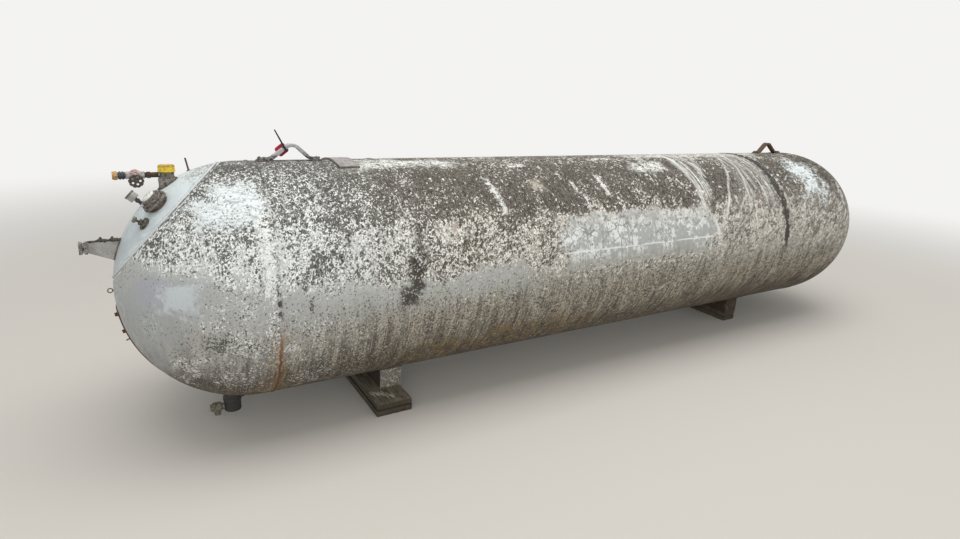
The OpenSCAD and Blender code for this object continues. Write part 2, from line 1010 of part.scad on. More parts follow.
// Valve body lying level under the head, cut to the coupling, with a spout aiming down
module drain_valve() {
    color("#77716a")
        difference() {
            at_drain()
                translate([0, 0, -drain_drop + drain_valve_d / 2])
                    rotate([0, -90, 0]) {
                        cylinder(d = drain_valve_d * 0.7, h = drain_d / 2 + drain_valve_l);
                        translate([0, 0, drain_d / 2 + 12])
                            cylinder(d = drain_valve_d, h = drain_valve_l - 20);
                        translate([0, 0, drain_d / 2 + drain_valve_l / 2])
                            rotate([0, -90, 0])
                                cylinder(d = drain_spout_d, h = drain_spout_l);
                    }
            at_drain()
                translate([0, 0, -drain_drop - 1])
                    cylinder(d = drain_d + 2 * seat, h = drain_drop);
        }
}

// A place on the near lug's left leg, with local +X up along the leg, +Z square to it
module on_leg(dist) {
    in_tank()
        translate([lug_pos - lug_top / 2 - lug_run, 0, lug_base + lug_low])
            rotate([0, -lug_slope, 0])
                translate([dist, 0, 0])
                    children();
}

// Flat tag behind the lug bar, with two slots for the tie
module red_tag() {
    color("#b3202c")
        on_leg(tag_at * lug_leg)
            difference() {
                translate([-tag_w / 2, lug_w / 2, -tag_l / 2])
                    cube([tag_w, tag_t, tag_l]);
                for (s = [-1, 1])
                    translate([tie_up - tie_w / 2 - seat, lug_w / 2 - 1,
                        s * (lug_t / 2 + seat + tie_t / 2) - tie_t / 2 - seat])
                        cube([tie_w + 2 * seat, tag_t + 2, tie_t + 2 * seat]);
            }
}

// Cable tie: a loop round bar and tag, its lock and its stiff free tail
module cable_tie() {
    color("#17171a")
        on_leg(tag_at * lug_leg + tie_up) {
            difference() {
                translate([-tie_w / 2, -lug_w / 2 - tie_t - seat,
                    -lug_t / 2 - tie_t - seat])
                    cube([tie_w, lug_w + tag_t + 2 * tie_t + 2 * seat,
                        lug_t + 2 * tie_t + 2 * seat]);
                translate([-tie_w, -lug_w / 2 - seat, -lug_t / 2 - seat])
                    cube([2 * tie_w, lug_w + tag_t + 2 * seat, lug_t + 2 * seat]);
            }
            translate([-tie_w * 0.75, -lug_w / 2 - seat - tie_t - 5, -lug_t / 2 - 6])
                cube([tie_w * 1.5, 5, 8]);
            translate([0, -lug_w / 2 - seat - 2 * tie_t, -lug_t / 2 - 4])
                rotate([0, tie_lean, 0])
                    translate([-tie_w / 2, 0, 0])
                        cube([tie_w, tie_t, tie_tail]);
        }
}

shell_near();
shell_middle();
shell_far();
head_near();
head_far();
weld_head_near();
weld_near();
weld_far();
weld_head_far();
hood_rim();
lifting_lug_near();
lifting_lug_far();
top_pad();
saddle_near();
saddle_far();
board_near_lower();
board_near_upper();
board_far_lower();
board_far_upper();
fill_nozzle();
fill_valve();
fill_cap();
outlet_nipple();
globe_valve();
valve_bonnet();
handwheel();
hose_coupling();
brass_nut();
float_gauge_flange();
float_gauge_body();
float_gauge_dial();
float_gauge_bolts();
pressure_gauge_stem();
pressure_gauge_case();
bleeder_valve();
bleeder_knob();
head_stud();
end_bracket();
bracket_clamp();
bracket_bolts();
end_ring();
end_plate();
end_plugs();
drain_coupling();
drain_valve();
red_tag();
cable_tie();
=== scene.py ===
import json
import math

import bmesh
import bpy
from mathutils import Matrix, Vector, noise


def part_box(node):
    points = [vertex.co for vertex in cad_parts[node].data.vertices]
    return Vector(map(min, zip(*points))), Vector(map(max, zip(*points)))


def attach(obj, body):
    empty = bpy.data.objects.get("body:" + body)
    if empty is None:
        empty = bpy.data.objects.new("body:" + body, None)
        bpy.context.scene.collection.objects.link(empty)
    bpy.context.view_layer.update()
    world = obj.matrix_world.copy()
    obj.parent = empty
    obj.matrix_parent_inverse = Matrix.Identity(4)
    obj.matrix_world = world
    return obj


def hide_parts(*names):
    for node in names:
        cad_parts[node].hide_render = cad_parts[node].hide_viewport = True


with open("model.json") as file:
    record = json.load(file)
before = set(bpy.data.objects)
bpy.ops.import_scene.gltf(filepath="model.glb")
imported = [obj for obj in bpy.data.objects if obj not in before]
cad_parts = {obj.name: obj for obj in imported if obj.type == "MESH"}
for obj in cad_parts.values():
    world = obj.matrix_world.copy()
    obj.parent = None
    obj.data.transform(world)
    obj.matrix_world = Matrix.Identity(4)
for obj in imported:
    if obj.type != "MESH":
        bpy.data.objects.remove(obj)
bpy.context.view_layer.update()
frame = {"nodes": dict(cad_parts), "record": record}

# Sizes repeated from the CAD source, in metres and degrees, from the middle of the near dome
NEAR_X = -1.863  # where that middle lies
AXIS_Z = 0.640
TANK_R = 0.5207
TANK_LEN = 3.823  # from one head's seam to the other's
SEAM_IN = 0.598  # from a head's seam to the weld of the next course
FILL_X = 0.28512
FILL_R = 0.033
FILL_TOP = 0.46070
CAP_LOW = FILL_TOP + 0.024
CAP_TOP = CAP_LOW + 0.028
OUTLET_Z = FILL_TOP + 0.012
GLOBE_X = FILL_X + 0.112
GLOBE_HALF = 0.033
COUPLING_LEN = 0.028
STEM_LEAN = 99
FLOAT_SPOT = (48.5, 0.130, 46, 7)  # elevation, offset to the near side, aim, turned by
BLEEDER_SPOT = (38.5, 0.158, 30, 4)
GAUGE_SPOT = (41.5, 11)  # elevation and azimuth
STUD_SPOT = (66, 22)
BRACKET_UP = 24.5
PLATE_TOP, PLATE_ARC, PLATE_SIDE, PLATE_THICK = -7, -36, -3, 0.0045
DRAIN_X, DRAIN_Y, DRAIN_DROP, DRAIN_R = -0.118, -0.100, 0.061, 0.036
LUG_IN, LUG_RUN, LUG_RISE, LUG_FLAT = 0.217, 0.078, 0.059, 0.032
PAD_X, PAD_HALF = (0.388, 0.479), 0.140
SADDLE_X = (0.550, 0.662)
BOARD_JOINT, BOARDS_TOP = 0.030, 0.060

BACKDROP = (0.90, 0.895, 0.88)
WELD_GAP = 1e-6  # points closer than this are one


def on_tank(x, y, z):
    return Vector((NEAR_X + x, y, AXIS_Z + z))


def skin(*offsets):
    """How far the round skin lies from the tank's middle, at these offsets across it."""
    return math.sqrt(TANK_R ** 2 - sum(offset ** 2 for offset in offsets))


def turn(degrees, axis):
    return Matrix.Rotation(math.radians(degrees), 4, axis)


def shift(x, y, z):
    return Matrix.Translation((x, y, z))


def stand(point, *turns):
    place = Matrix.Translation(point)
    for one in turns:
        place = place @ one
    return place


def on_head(elevation, azimuth, lift=0.0):
    """Local +Z points out of the near head from its middle; azimuth turns to the far side."""
    return stand(on_tank(0, 0, 0), turn(-azimuth, "Z"), turn(elevation - 90, "Y"),
                 shift(0, 0, lift))


def on_head_beside(elevation, offset, aim, turned_by):
    """Local +Z starts on the head's skin, at an offset to the near side."""
    reach = skin(offset)
    angle = math.radians(elevation)
    foot = on_tank(-reach * math.cos(angle), -offset, reach * math.sin(angle))
    return stand(foot, turn(turned_by, "Z"), turn(aim - 90, "Y"))


def along_outlet(x):
    """Local +Z runs out along the outlet pipe, away from the tank."""
    return stand(on_tank(-x, 0, OUTLET_Z), turn(-90, "Y"))


def along_stem():
    """Local +Z runs out along the globe valve's stem, from the valve's middle."""
    return stand(on_tank(-GLOBE_X, 0, OUTLET_Z), turn(STEM_LEAN, "X"))


def show(name, data):
    """An object of that data, in the scene."""
    shown = bpy.data.objects.new(name, data)
    bpy.context.scene.collection.objects.link(shown)
    return shown


# ---------------------------------------------------------------- camera
def photo_camera():
    right = Vector((0.8589, -0.5099, 0.0479)).normalized()
    up = Vector((0.1068, 0.2699, 0.9569))
    up = (up - right * up.dot(right)).normalized()
    place = Matrix((right, up, right.cross(up))).transposed().to_4x4()
    place.translation = on_tank(-0.454, -2.738, 0.861)
    lens = bpy.data.cameras.new("photo_camera")
    lens.sensor_width = 36
    lens.lens = 22.5
    lens.clip_start = 0.05
    lens.clip_end = 200
    camera = show("photo_camera", lens)
    camera.matrix_world = place
    bpy.context.scene.camera = camera


photo_camera()


# ---------------------------------------------------------------- shader helpers
class Sheet:
    """A shader tree that is wired as its nodes are made."""

    def __init__(self, tree):
        self.tree = tree

    def wire(self, value, socket):
        if isinstance(value, bpy.types.NodeSocket):
            self.tree.links.new(value, socket)
        elif socket.type == "RGBA" and len(value) == 3:
            socket.default_value = (*value, 1)
        else:
            socket.default_value = value

    def add(self, kind, wires=None, **settings):
        node = self.tree.nodes.new(kind)
        for key, value in settings.items():
            setattr(node, key, value)
        for key, value in (wires or {}).items():
            self.wire(value, node.inputs[key])
        return node

    def maths(self, way, a, b=0.0, c=0.0, clamp=False):
        wires = {0: a, 1: b, 2: c}
        return self.add("ShaderNodeMath", wires, operation=way, use_clamp=clamp).outputs[0]

    def vector_maths(self, way, a, b=(0, 0, 0), c=(0, 0, 0), give=0):
        return self.add("ShaderNodeVectorMath", {0: a, 1: b, 2: c}, operation=way).outputs[give]

    def fold(self, way, terms):
        total = terms[0]
        for term in terms[1:]:
            total = self.maths(way, total, term)
        return total

    def product(self, *masks):
        return self.fold("MULTIPLY", masks)

    def most(self, *masks):
        return self.fold("MAXIMUM", masks)

    def plus(self, *terms):
        return self.fold("ADD", terms)

    def minus(self, a, b):
        return self.maths("SUBTRACT", a, b)

    def times(self, mask, gain, base=0.0):
        return self.maths("MULTIPLY_ADD", mask, gain, base)

    def unsigned(self, value):
        return self.maths("ABSOLUTE", value)

    def less(self, mask, other, share=1.0):
        """mask with other taken away from it."""
        return self.product(mask, self.maths("MULTIPLY_ADD", other, -share, 1.0, True))

    def ease(self, value, low, high, to_low=0.0, to_high=1.0):
        """A smooth step from to_low at low to to_high at high."""
        wires = {0: value, 1: low, 2: high, 3: to_low, 4: to_high}
        return self.add("ShaderNodeMapRange", wires, interpolation_type="SMOOTHSTEP").outputs[0]

    def blend(self, share, a, b):
        return self.add("ShaderNodeMix", {0: share, 6: a, 7: b}, data_type="RGBA").outputs[2]

    def cloud(self, place, scale, detail=3.0, rough=0.55, twist=0.0):
        wires = {"Vector": place, "Scale": scale, "Detail": detail, "Roughness": rough,
                 "Distortion": twist}
        return self.add("ShaderNodeTexNoise", wires).outputs[0]

    def stretch(self, place, size, move=(0, 0, 0), rotation=(0, 0, 0)):
        wires = {"Vector": place, "Scale": size, "Location": move, "Rotation": rotation}
        return self.add("ShaderNodeMapping", wires).outputs[0]

    def swirled(self, place, scale, reach):
        """The place, moved about by a noise, which breaks up straight edges."""
        wires = {"Vector": place, "Scale": scale, "Detail": 1.0}
        sway = self.add("ShaderNodeTexNoise", wires).outputs[1]
        return self.vector_maths("MULTIPLY_ADD", sway, reach, place)

    def split(self, place):
        return self.add("ShaderNodeSeparateXYZ", {0: place}).outputs

    def use(self, group, **wires):
        node = self.add("ShaderNodeGroup", node_tree=group)
        for key, value in wires.items():
            self.wire(value, node.inputs[key.replace("_", " ")])
        return node.outputs

    def give(self, **rows):
        """Wires what a group gives."""
        for label, value in rows.items():
            self.wire(value, self.given[label])
        return self.tree


def new_group(name, takes, *gives):
    """A node group: takes maps each label to its value (None for a place), gives is labels."""
    tree = bpy.data.node_groups.new(name, "ShaderNodeTree")
    for label, value in takes.items():
        kind = "Vector" if value is None else "Color" if isinstance(value, tuple) else "Float"
        socket = tree.interface.new_socket(label, in_out="INPUT", socket_type="NodeSocket" + kind)
        if value is not None:
            socket.default_value = value
    for label in gives:
        kind = {"Color": "Color", "Wrap": "Vector"}.get(label, "Float")
        tree.interface.new_socket(label, in_out="OUTPUT", socket_type="NodeSocket" + kind)
    sheet = Sheet(tree)
    sheet.taken = tree.nodes.new("NodeGroupInput").outputs
    sheet.given = tree.nodes.new("NodeGroupOutput").inputs
    return sheet


def crust_group():
    """A crust that grows in small cells: dark and pale specks, each over its own share."""
    takes = {"Place": None, "Size": 100.0, "Dark Cover": 0.3, "Pale Cover": 0.3, "Edge": 0.030}
    s = new_group("crust", takes, "Dark", "Pale", "Tone", "Value")
    place, size, edge = (s.taken[label] for label in ("Place", "Size", "Edge"))
    cells = s.add("ShaderNodeTexVoronoi", {"Vector": place, "Scale": size}).outputs["Color"]
    tones = s.add("ShaderNodeSeparateColor", {0: cells}).outputs
    grain = s.cloud(place, s.product(size, 0.72), 3.0, 0.72)
    value = s.times(tones[0], 0.46, s.times(grain, 0.95, -0.205))
    for label, way in (("Dark", 1.0), ("Pale", -1.0)):
        cover = s.taken[label + " Cover"]
        level = s.times(cover, 0.58 * way, 0.5 - 0.29 * way)
        inside = s.ease(value, s.times(edge, way, level), s.times(edge, -way, level))
        s.give(**{label: s.product(inside, s.ease(cover, 0.0, 0.08))})
    return s.give(Tone=tones[1], Value=value)


def outside(s, here, start, stop, edge):
    """How far a value lies outside a span, counted in edges: -1 well inside, 1 well outside."""
    middle = s.product(s.plus(start, stop), 0.5)
    half = s.product(s.minus(stop, start), 0.5)
    away = s.unsigned(s.minus(here, middle))
    return s.maths("DIVIDE", s.minus(away, half), edge)


# what a patch and a line both take: a place on the side, a ragged field and an arc
AREA = {"Along": 0.0, "Round": 0.0, "Ragged": 0.0, "From Round": 0.0}


def patch_group():
    """A soft patch of the side: a length along it and an arc round it, with ragged edges."""
    s = new_group("ragged patch", {
        **AREA, "From Along": 0.0, "To Along": 1.0, "Edge Along": 0.02, "To Round": 20.0,
        "Edge Round": 2.0}, "Mask")
    gaps = []
    for way in ("Along", "Round"):
        start, stop, edge = (s.taken[label + way] for label in ("From ", "To ", "Edge "))
        here = s.times(s.taken["Ragged"], s.product(edge, 2.6), s.taken[way])
        gaps.append(outside(s, here, start, stop, edge))
    return s.give(Mask=s.ease(s.most(*gaps), 1.0, -1.0))


def line_group():
    """A line round the tank, upright or leaning: a run, a scratch or a stained seam."""
    s = new_group("leaning line", {
        **AREA, "At": 0.0, "Lean": 0.0, "Width": 0.01, "To Round": 80.0, "Edge Round": 4.0},
        "Mask")
    round_, width = s.taken["Round"], s.taken["Width"]
    middle = s.times(round_, s.taken["Lean"], s.taken["At"])
    here = s.times(s.taken["Ragged"], s.product(width, 1.3), s.taken["Along"])
    away = s.unsigned(s.minus(here, middle))
    across = s.maths("DIVIDE", s.times(width, -0.65, away), s.product(width, 0.35))
    start, stop, edge = (s.taken[label + "Round"] for label in ("From ", "To ", "Edge "))
    return s.give(Mask=s.ease(s.most(across, outside(s, round_, start, stop, edge)), 1.0, -1.0))


def spot_group():
    """Where a point lies: along the tank, degrees round it from the near side, how high."""
    s = new_group("tank place", {"Place": None}, "Along", "Round", "Up", "Wrap")
    parts = s.split(s.taken["Place"])
    rise = s.minus(parts[2], AXIS_Z)
    angle = s.maths("ARCTAN2", rise, s.product(parts[1], -1.0))
    s.give(Along=parts[0], Round=s.product(angle, 180 / math.pi), Up=s.product(rise, 1 / TANK_R))
    arc = s.product(angle, TANK_R)
    return s.give(Wrap=s.add("ShaderNodeCombineXYZ", {0: parts[0], 1: arc, 2: 0.0}).outputs[0])


CRUST = crust_group()
PATCH = patch_group()
LINE = line_group()
SPOT = spot_group()


def weathering_group():
    """The tank's old silver paint: lichen, soot, clean bands, dirt, rust runs and scrapes, with
    painted shade low on the belly and a painted shadow and highlight along the hood's rim.
    """
    takes = {"Place": None, "Bead": 0.0}
    s = new_group("tank weathering", takes, "Color", "Roughness", "Height")
    plus, times, product, most = s.plus, s.times, s.product, s.most
    less, ease, blend = s.less, s.ease, s.blend
    place = s.taken["Place"]
    spot = s.use(SPOT, Place=place)
    along, round_, up, wrap = spot["Along"], spot["Round"], spot["Up"], spot["Wrap"]

    def field(scale, detail=3.0, rough=0.55, where=place):
        """A noise that lies about 0, mostly within -0.5 and 0.5."""
        return times(s.cloud(where, scale, detail, rough), 2.5, -1.25)

    def drawn_out(size, move=(0, 0, 0), angle=0.0, where=wrap):
        return s.stretch(where, (*size, 1.0), move, (0, 0, angle))

    swirled = s.swirled(wrap, 9.0, (0.10, 0.10, 0.0))
    broad = field(1.9, 1.0)
    patchy = field(7.5, 3.0, 0.6)
    ragged = field(34.0, 3.0, 0.7)
    fine = field(260.0, 1.0)
    runs = field(1.0, 3.0, 0.6, drawn_out((30.0, 3.0)))
    hair = field(1.0, 2.0, 0.6, drawn_out((210.0, 5.0), (3, 2, 0)))
    stroke = field(1.0, 3.0, 0.7, drawn_out((15.0, 85.0), (1, 5, 0), where=swirled))
    strands = field(1.0, 3.0, 0.7, drawn_out((70.0, 2.0), (6, 1, 0)))
    sweep = field(1.0, 2.0, 0.6, drawn_out((150.0, 5.0), angle=0.7))
    wipe = field(1.0, 3.0, 0.62, drawn_out((26.0, 4.0), angle=0.62))

    def patch(x, edge_x, a, edge_a, rough=ragged):
        """From x to x along the tank, in metres, and from a to a round it, in degrees."""
        return s.use(
            PATCH, Along=along, Round=round_, Ragged=rough, From_Along=x[0], To_Along=x[1],
            Edge_Along=edge_x, From_Round=a[0], To_Round=a[1], Edge_Round=edge_a,
        )["Mask"]

    def line(at, lean, width, a, edge_a=4.0, rough=ragged):
        """Round the tank at x = at + lean * degrees, from a to a."""
        return s.use(
            LINE, Along=along, Round=round_, Ragged=rough, At=at, Lean=lean, Width=width,
            From_Round=a[0], To_Round=a[1], Edge_Round=edge_a,
        )["Mask"]

    def tint(colour, share, other, amount):
        return blend(product(share, amount), colour, other)

    # how far along and how high: the near head is paler, the top and the far side blacker
    to_far = ease(times(patchy, 0.15, along), -1.80, -0.95)
    farther = ease(along, -1.6, 0.6)
    high = ease(plus(times(patchy, 0.22), times(runs, 0.16), up), 0.38, 0.72)
    crown = ease(up, 0.92, 0.985)

    # clean places, and a painted shadow and highlight along the hood's rim
    aim = Vector((-math.cos(math.radians(42)) * math.cos(math.radians(14)),
                  math.cos(math.radians(42)) * math.sin(math.radians(14)),
                  math.sin(math.radians(42))))
    from_dome = s.vector_maths("SUBTRACT", place, (NEAR_X, 0, AXIS_Z))
    facing = s.vector_maths("DOT_PRODUCT", from_dome, aim / TANK_R, give="Value")
    hood = ease(facing, math.cos(math.radians(37.3)), math.cos(math.radians(36.4)))
    rim_shadow_and_highlight = []
    for degrees, half in ((36.0, 0.0032), (38.5, 0.0048)):
        gap = s.unsigned(s.minus(facing, math.cos(math.radians(degrees))))
        rim_shadow_and_highlight.append(ease(gap, half, half * 0.3))
    washed = most(
        patch((-2.085, -1.885), 0.04, (43, 60), 4.0, patchy),
                  patch((-2.02, -1.870), 0.02, (41, 63), 3.5)
    )
    smooth_head = most(
        patch((-2.60, -2.20), 0.04, (-80, 16), 5.0, patchy),
                       patch((-2.30, -2.13), 0.03, (0, 18), 4.0, patchy)
    )
    band = patch((-0.46, 0.650), 0.08, (3.0, 32.5), 2.0, patchy)
    strip = patch((-1.86, -0.62), 0.06, (-5, 8.0), 4.0, patchy)
    pale_far = patch((1.64, 1.88), 0.07, (34, 68), 8.0, patchy)
    clean = most(hood, product(washed, 0.74), product(smooth_head, 0.88), product(band, 0.86),
                   product(strip, 0.80), product(pale_far, 0.82))

    # lichen: how much of each place it takes
    foot = ease(along, -1.75, -2.35, 0.13, 0.37)
    above = s.minus(plus(times(patchy, 0.13), times(ragged, 0.05), up), foot)
    growth = ease(above, times(to_far, -0.30, -0.08), 0.14)
    clumps = product(patch((-2.13, -1.45), 0.10, (-48, 14), 9.0, patchy),
                     ease(patchy, -0.10, 0.50, 0.10, 0.78))
    growth = less(most(growth, clumps), clean)
    share = plus(
        product(high, times(to_far, 0.34, 0.18)), times(to_far, -0.01, 0.27),
        ease(along, -1.86, -1.72, 0.0, 0.06), ease(along, 1.35, 1.75, 0.02, 0.16),
        product(crown, ease(along, -1.5, -1.1, 0.25, -0.22)),
        times(runs, 0.32), times(patchy, 0.38), times(broad, 0.20),
    )
    moss = most(
        patch((-1.705, -1.655), 0.012, (15, 27), 2.5), patch((-1.734, -1.714), 0.006, (-1.5, 5),
            1.2),
        patch((-1.760, -1.725), 0.012, (9, 14), 2.0), patch((-2.11, -2.02), 0.02, (-17, -8), 3.0),
    )
    beside = line(-1.868, 0.0, 0.030, (-14, 55), 10.0)
    share = plus(share, times(moss, 0.35), times(beside, -0.22))
    share = product(s.maths("MAXIMUM", share, 0.05), most(growth, product(moss, 0.8)))

    # dirt that thickens toward the belly; the lowest band (grime) is dirt plus painted shade near
    # the ground
    fall = plus(times(runs, 0.16), times(patchy, 0.16), times(wipe, 0.10), up)
    cleaner = ease(times(patchy, 0.25, along), -2.10, -1.30, 0.42, 1.0)
    dirt = product(less(ease(fall, 0.12, -0.30), smooth_head, 0.60), cleaner)
    # grime: dirt plus painted shade, darkest at the bottom of the belly
    grime = less(ease(fall, -0.26, -0.66), smooth_head, 0.45)

    # the specks of both sizes, with a few of them on the clean paint too
    swayed = s.swirled(place, 90.0, (0.006, 0.006, 0.006))
    pale_share = plus(
        product(growth, plus(times(to_far, -0.04, 0.40), times(high, -0.10), times(runs, 0.32),
                             times(ragged, 0.22))),
        times(beside, 0.30), times(moss, -0.20),
        times(dirt, 0.06), times(ragged, 0.05),
    )
    dark_least = plus(times(dirt, 0.16), times(patchy, 0.12),
                      times(most(hood, times(smooth_head, 0.7), band), -0.10, 0.11))
    small = s.use(
        CRUST, Place=swayed, Size=times(along, -20.0, 132.0), Pale_Cover=pale_share,
        Dark_Cover=s.maths("MAXIMUM", product(share, times(farther, -0.20, 1.0)), dark_least),
    )
    large = s.use(
        CRUST, Place=s.stretch(swayed, (1, 1, 1), (0, 1, 2)), Size=times(along, -11.0, 70.0),
        Pale_Cover=product(pale_share, times(farther, 0.45, 0.55)),
        Dark_Cover=product(share, times(farther, 0.30, 0.66)),
    )

    # the paint itself
    paint = blend(times(broad, 0.6, 0.5), (0.40, 0.405, 0.39), (0.54, 0.545, 0.525))
    paint = tint(paint, ease(runs, 0.0, 0.6), (0.34, 0.325, 0.285), 0.6)
    beige = product(ease(up, 0.24, 0.04), ease(along, -0.9, -0.3))
    paint = tint(paint, beige, (0.32, 0.30, 0.25), 0.7)
    paint = tint(paint, hood, (0.50, 0.545, 0.56), 0.92)
    paint = tint(paint, product(hood, ease(plus(patchy, times(stroke, 0.5)), -0.2, 0.6)),
                 (0.70, 0.765, 0.765), 0.8)
    paint = tint(paint, product(hood, ease(up, 0.55, 0.92)), (0.76, 0.825, 0.82), 0.7)
    paint = tint(paint, smooth_head, (0.40, 0.415, 0.415), 0.85)
    paint = tint(paint, product(smooth_head, ease(plus(patchy, ragged), 0.15, 0.6)),
                 (0.56, 0.585, 0.58), 0.6)
    paint = tint(paint, patch((-2.31, -2.20), 0.015, (5, 24), 3.0, patchy), (0.40, 0.40, 0.45), 0.7)
    paint = tint(paint, patch((-2.235, -2.120), 0.025, (3, 17.5), 3.0), (0.62, 0.665, 0.68), 0.75)
    paint = tint(paint, band, (0.43, 0.455, 0.45), 0.9)
    paint = tint(paint, product(band, ease(plus(patchy, times(ragged, 0.9)), -0.12, 0.22)),
                 (0.93, 0.95, 0.93), 0.90)
    paint = tint(paint, product(band, ease(plus(runs, times(ragged, 0.6)), 0.12, 0.50)),
                 (0.24, 0.245, 0.22), 0.8)
    paint = tint(paint, product(band, ease(plus(up, times(runs, 0.08)), 0.20, 0.06)),
                 (0.36, 0.355, 0.31), 0.85)
    paint = tint(paint, pale_far, (0.82, 0.88, 0.88), 0.95)
    paint = blend(product(growth, 0.9), paint, blend(to_far, (0.60, 0.61, 0.59),
                                                     (0.42, 0.385, 0.33)))
    blush = product(ease(patchy, -0.1, -0.5), to_far, ease(up, -0.1, 0.15))
    paint = tint(paint, less(blush, clean), (0.42, 0.31, 0.255), 0.5)
    green = product(ease(times(broad, 1.0, patchy), 0.2, 0.8), ease(up, 0.20, -0.1), to_far)
    paint = tint(paint, green, (0.30, 0.30, 0.17), 0.5)

    # what lies on it
    tone = ease(plus(times(small["Value"], 0.5, 0.25), times(wipe, 0.24), times(sweep, 0.16),
                     times(hair, 0.12)), 0.30, 0.74)
    soil = blend(tone, (0.052, 0.041, 0.026), (0.47, 0.415, 0.325))
    soil = tint(soil, green, (0.22, 0.20, 0.10), 0.35)
    # painted shade: these belly colours are darker than the dirt alone, standing in for shade under
    # the tank near the ground
    deep = blend(tone, (0.012, 0.008, 0.005), (0.150, 0.113, 0.070))
    colour = blend(product(dirt, 0.88), paint, soil)
    colour = blend(product(grime, 0.95), colour, deep)
    white = blend(
        small["Tone"], blend(to_far, (1.0, 1.0, 0.98), (0.96, 0.935, 0.87)),
                  blend(to_far, (0.74, 0.75, 0.72), (0.64, 0.61, 0.55))
    )
    calm = product(ease(along, 0.45, 0.95), ease(up, 0.80, 0.55))
    colour = blend(
        product(most(small["Pale"], large["Pale"]), times(calm, -0.42, times(dirt, -0.50, 0.95))),
                   colour, white
    )
    near_dark = blend(small["Tone"], (0.010, 0.011, 0.007), (0.175, 0.17, 0.15))
    far_dark = blend(small["Tone"], (0.010, 0.008, 0.005), (0.168, 0.144, 0.112))
    black = blend(to_far, near_dark, far_dark)
    crown_soot = patch((-2.03, -0.45), 0.05, (73, 120), 3.0, patchy)
    colour = tint(colour, product(crown_soot, ease(plus(small["Value"], times(ragged, 0.2)), 0.62,
                                                   0.40)), (0.205, 0.18, 0.145), 0.85)
    olive = product(ease(patchy, 0.25, 0.6), ease(up, 0.55, 0.25))
    black = tint(black, olive, (0.085, 0.09, 0.035), 0.55)
    firm = times(calm, -0.34, 0.94)
    colour = blend(product(large["Dark"], firm), colour, black)
    colour = blend(product(small["Dark"], firm), colour, black)
    flakes = product(ease(plus(times(runs, 0.7), ragged), 0.38, 0.47), growth)
    colour = tint(colour, product(flakes, ease(small["Value"], 0.30, 0.44)), (0.84, 0.825, 0.76),
                  0.90)

    # strokes in the washed places, fine cracks and drips in the clean band
    brushed = product(most(washed, product(pale_far, 0.7)),
                      ease(plus(small["Value"], times(ragged, 0.3)), 0.26, 0.46))
    colour = blend(product(brushed, 0.85), colour, blend(ease(stroke, -0.05, 0.45),
                                                         (0.86, 0.92, 0.92), (0.36, 0.40, 0.40)))
    cracks = product(ease(hair, 0.36, 0.54), most(band, product(hood, 0.20)))
    colour = tint(colour, cracks, (0.17, 0.165, 0.14), 0.85)
    flaking = s.add("ShaderNodeTexVoronoi", {"Vector": wrap, "Scale": 17.0},
                    feature="DISTANCE_TO_EDGE").outputs[0]
    split = product(ease(plus(flaking, times(ragged, 0.05)), 0.045, 0.015), band,
                    ease(plus(patchy, up), 0.05, 0.5))
    colour = tint(colour, split, (0.20, 0.195, 0.165), 0.75)
    frayed = product(patch((-0.50, 0.66), 0.03, (26, 33), 2.0), ease(ragged, -0.2, 0.2))
    colour = tint(colour, frayed, (0.66, 0.61, 0.53), 0.6)

    # painted shadow just inside the hood's rim, and a painted highlight just outside it
    colour = tint(colour, product(rim_shadow_and_highlight[0], ease(ragged, -0.5, 0.1)), (0.23, 0.24, 0.25), 0.6)
    colour = tint(colour, product(rim_shadow_and_highlight[1], ease(ragged, -0.3, 0.2)), (0.80, 0.82, 0.81), 0.75)

    # ochre growth low on the side
    ochre = product(patch((-1.25, -0.15), 0.12, (-47, -29), 5.0, patchy), ease(ragged, -0.1, 0.35))
    colour = tint(colour, ochre, (0.26, 0.165, 0.035), 0.6)

    # brown stains at the second seam and beside it
    stain = most(
        patch((-1.345, -1.255), 0.014, (-4.5, 4), 1.6),
                 patch((-1.300, -1.232), 0.011, (1, 19), 2.0),
        product(line(-1.238, 0.0, 0.030, (15, 36), 4.0), 0.8),
                 product(line(-0.52, 0.0, 0.020, (33, 50), 3.0), 0.5),
    )
    spots = product(stain, ease(plus(times(ragged, 0.5), small["Value"]), 0.82, 0.56))
    colour = tint(colour, spots, (0.028, 0.020, 0.013), 0.95)

    # rust runs at the near head's seam, and dirt along the other seams
    grain = ease(plus(hair, times(fine, 0.5)), -0.45, 0.45)
    halo = product(line(-1.842, 0.0, 0.048, (-58, -10), 9.0, patchy), grain,
                   ease(ragged, -0.7, 0.2))
    pool = product(patch((-1.905, -1.765), 0.04, (-62, -41), 6.0),
                   ease(plus(ragged, times(fine, 0.4)), -0.25, 0.30))
    colour = tint(colour, most(halo, pool), (0.25, 0.155, 0.045), 0.72)
    core = product(line(-1.839, 0.0, 0.0100, (-44, -9), 4.0), times(grain, 0.5, 0.5),
                   ease(ragged, -0.9, 0.1))
    colour = tint(colour, core, (0.27, 0.105, 0.024), 0.95)
    colour = tint(colour, line(-1.838, 0.0, 0.0065, (-60, -20), 8.0), (0.10, 0.038, 0.010), 0.85)
    seams = most(
        product(line(-1.838, 0.0, 0.011, (-2, 17)), ease(ragged, -0.20, 0.12)),
        product(line(-1.845, 0.0004, 0.006, (60, 88)), 0.9),
        product(line(NEAR_X + TANK_LEN, 0.0, 0.012, (-180, 180)), 0.25),
    )
    colour = tint(colour, seams, (0.026, 0.022, 0.016), 0.94)

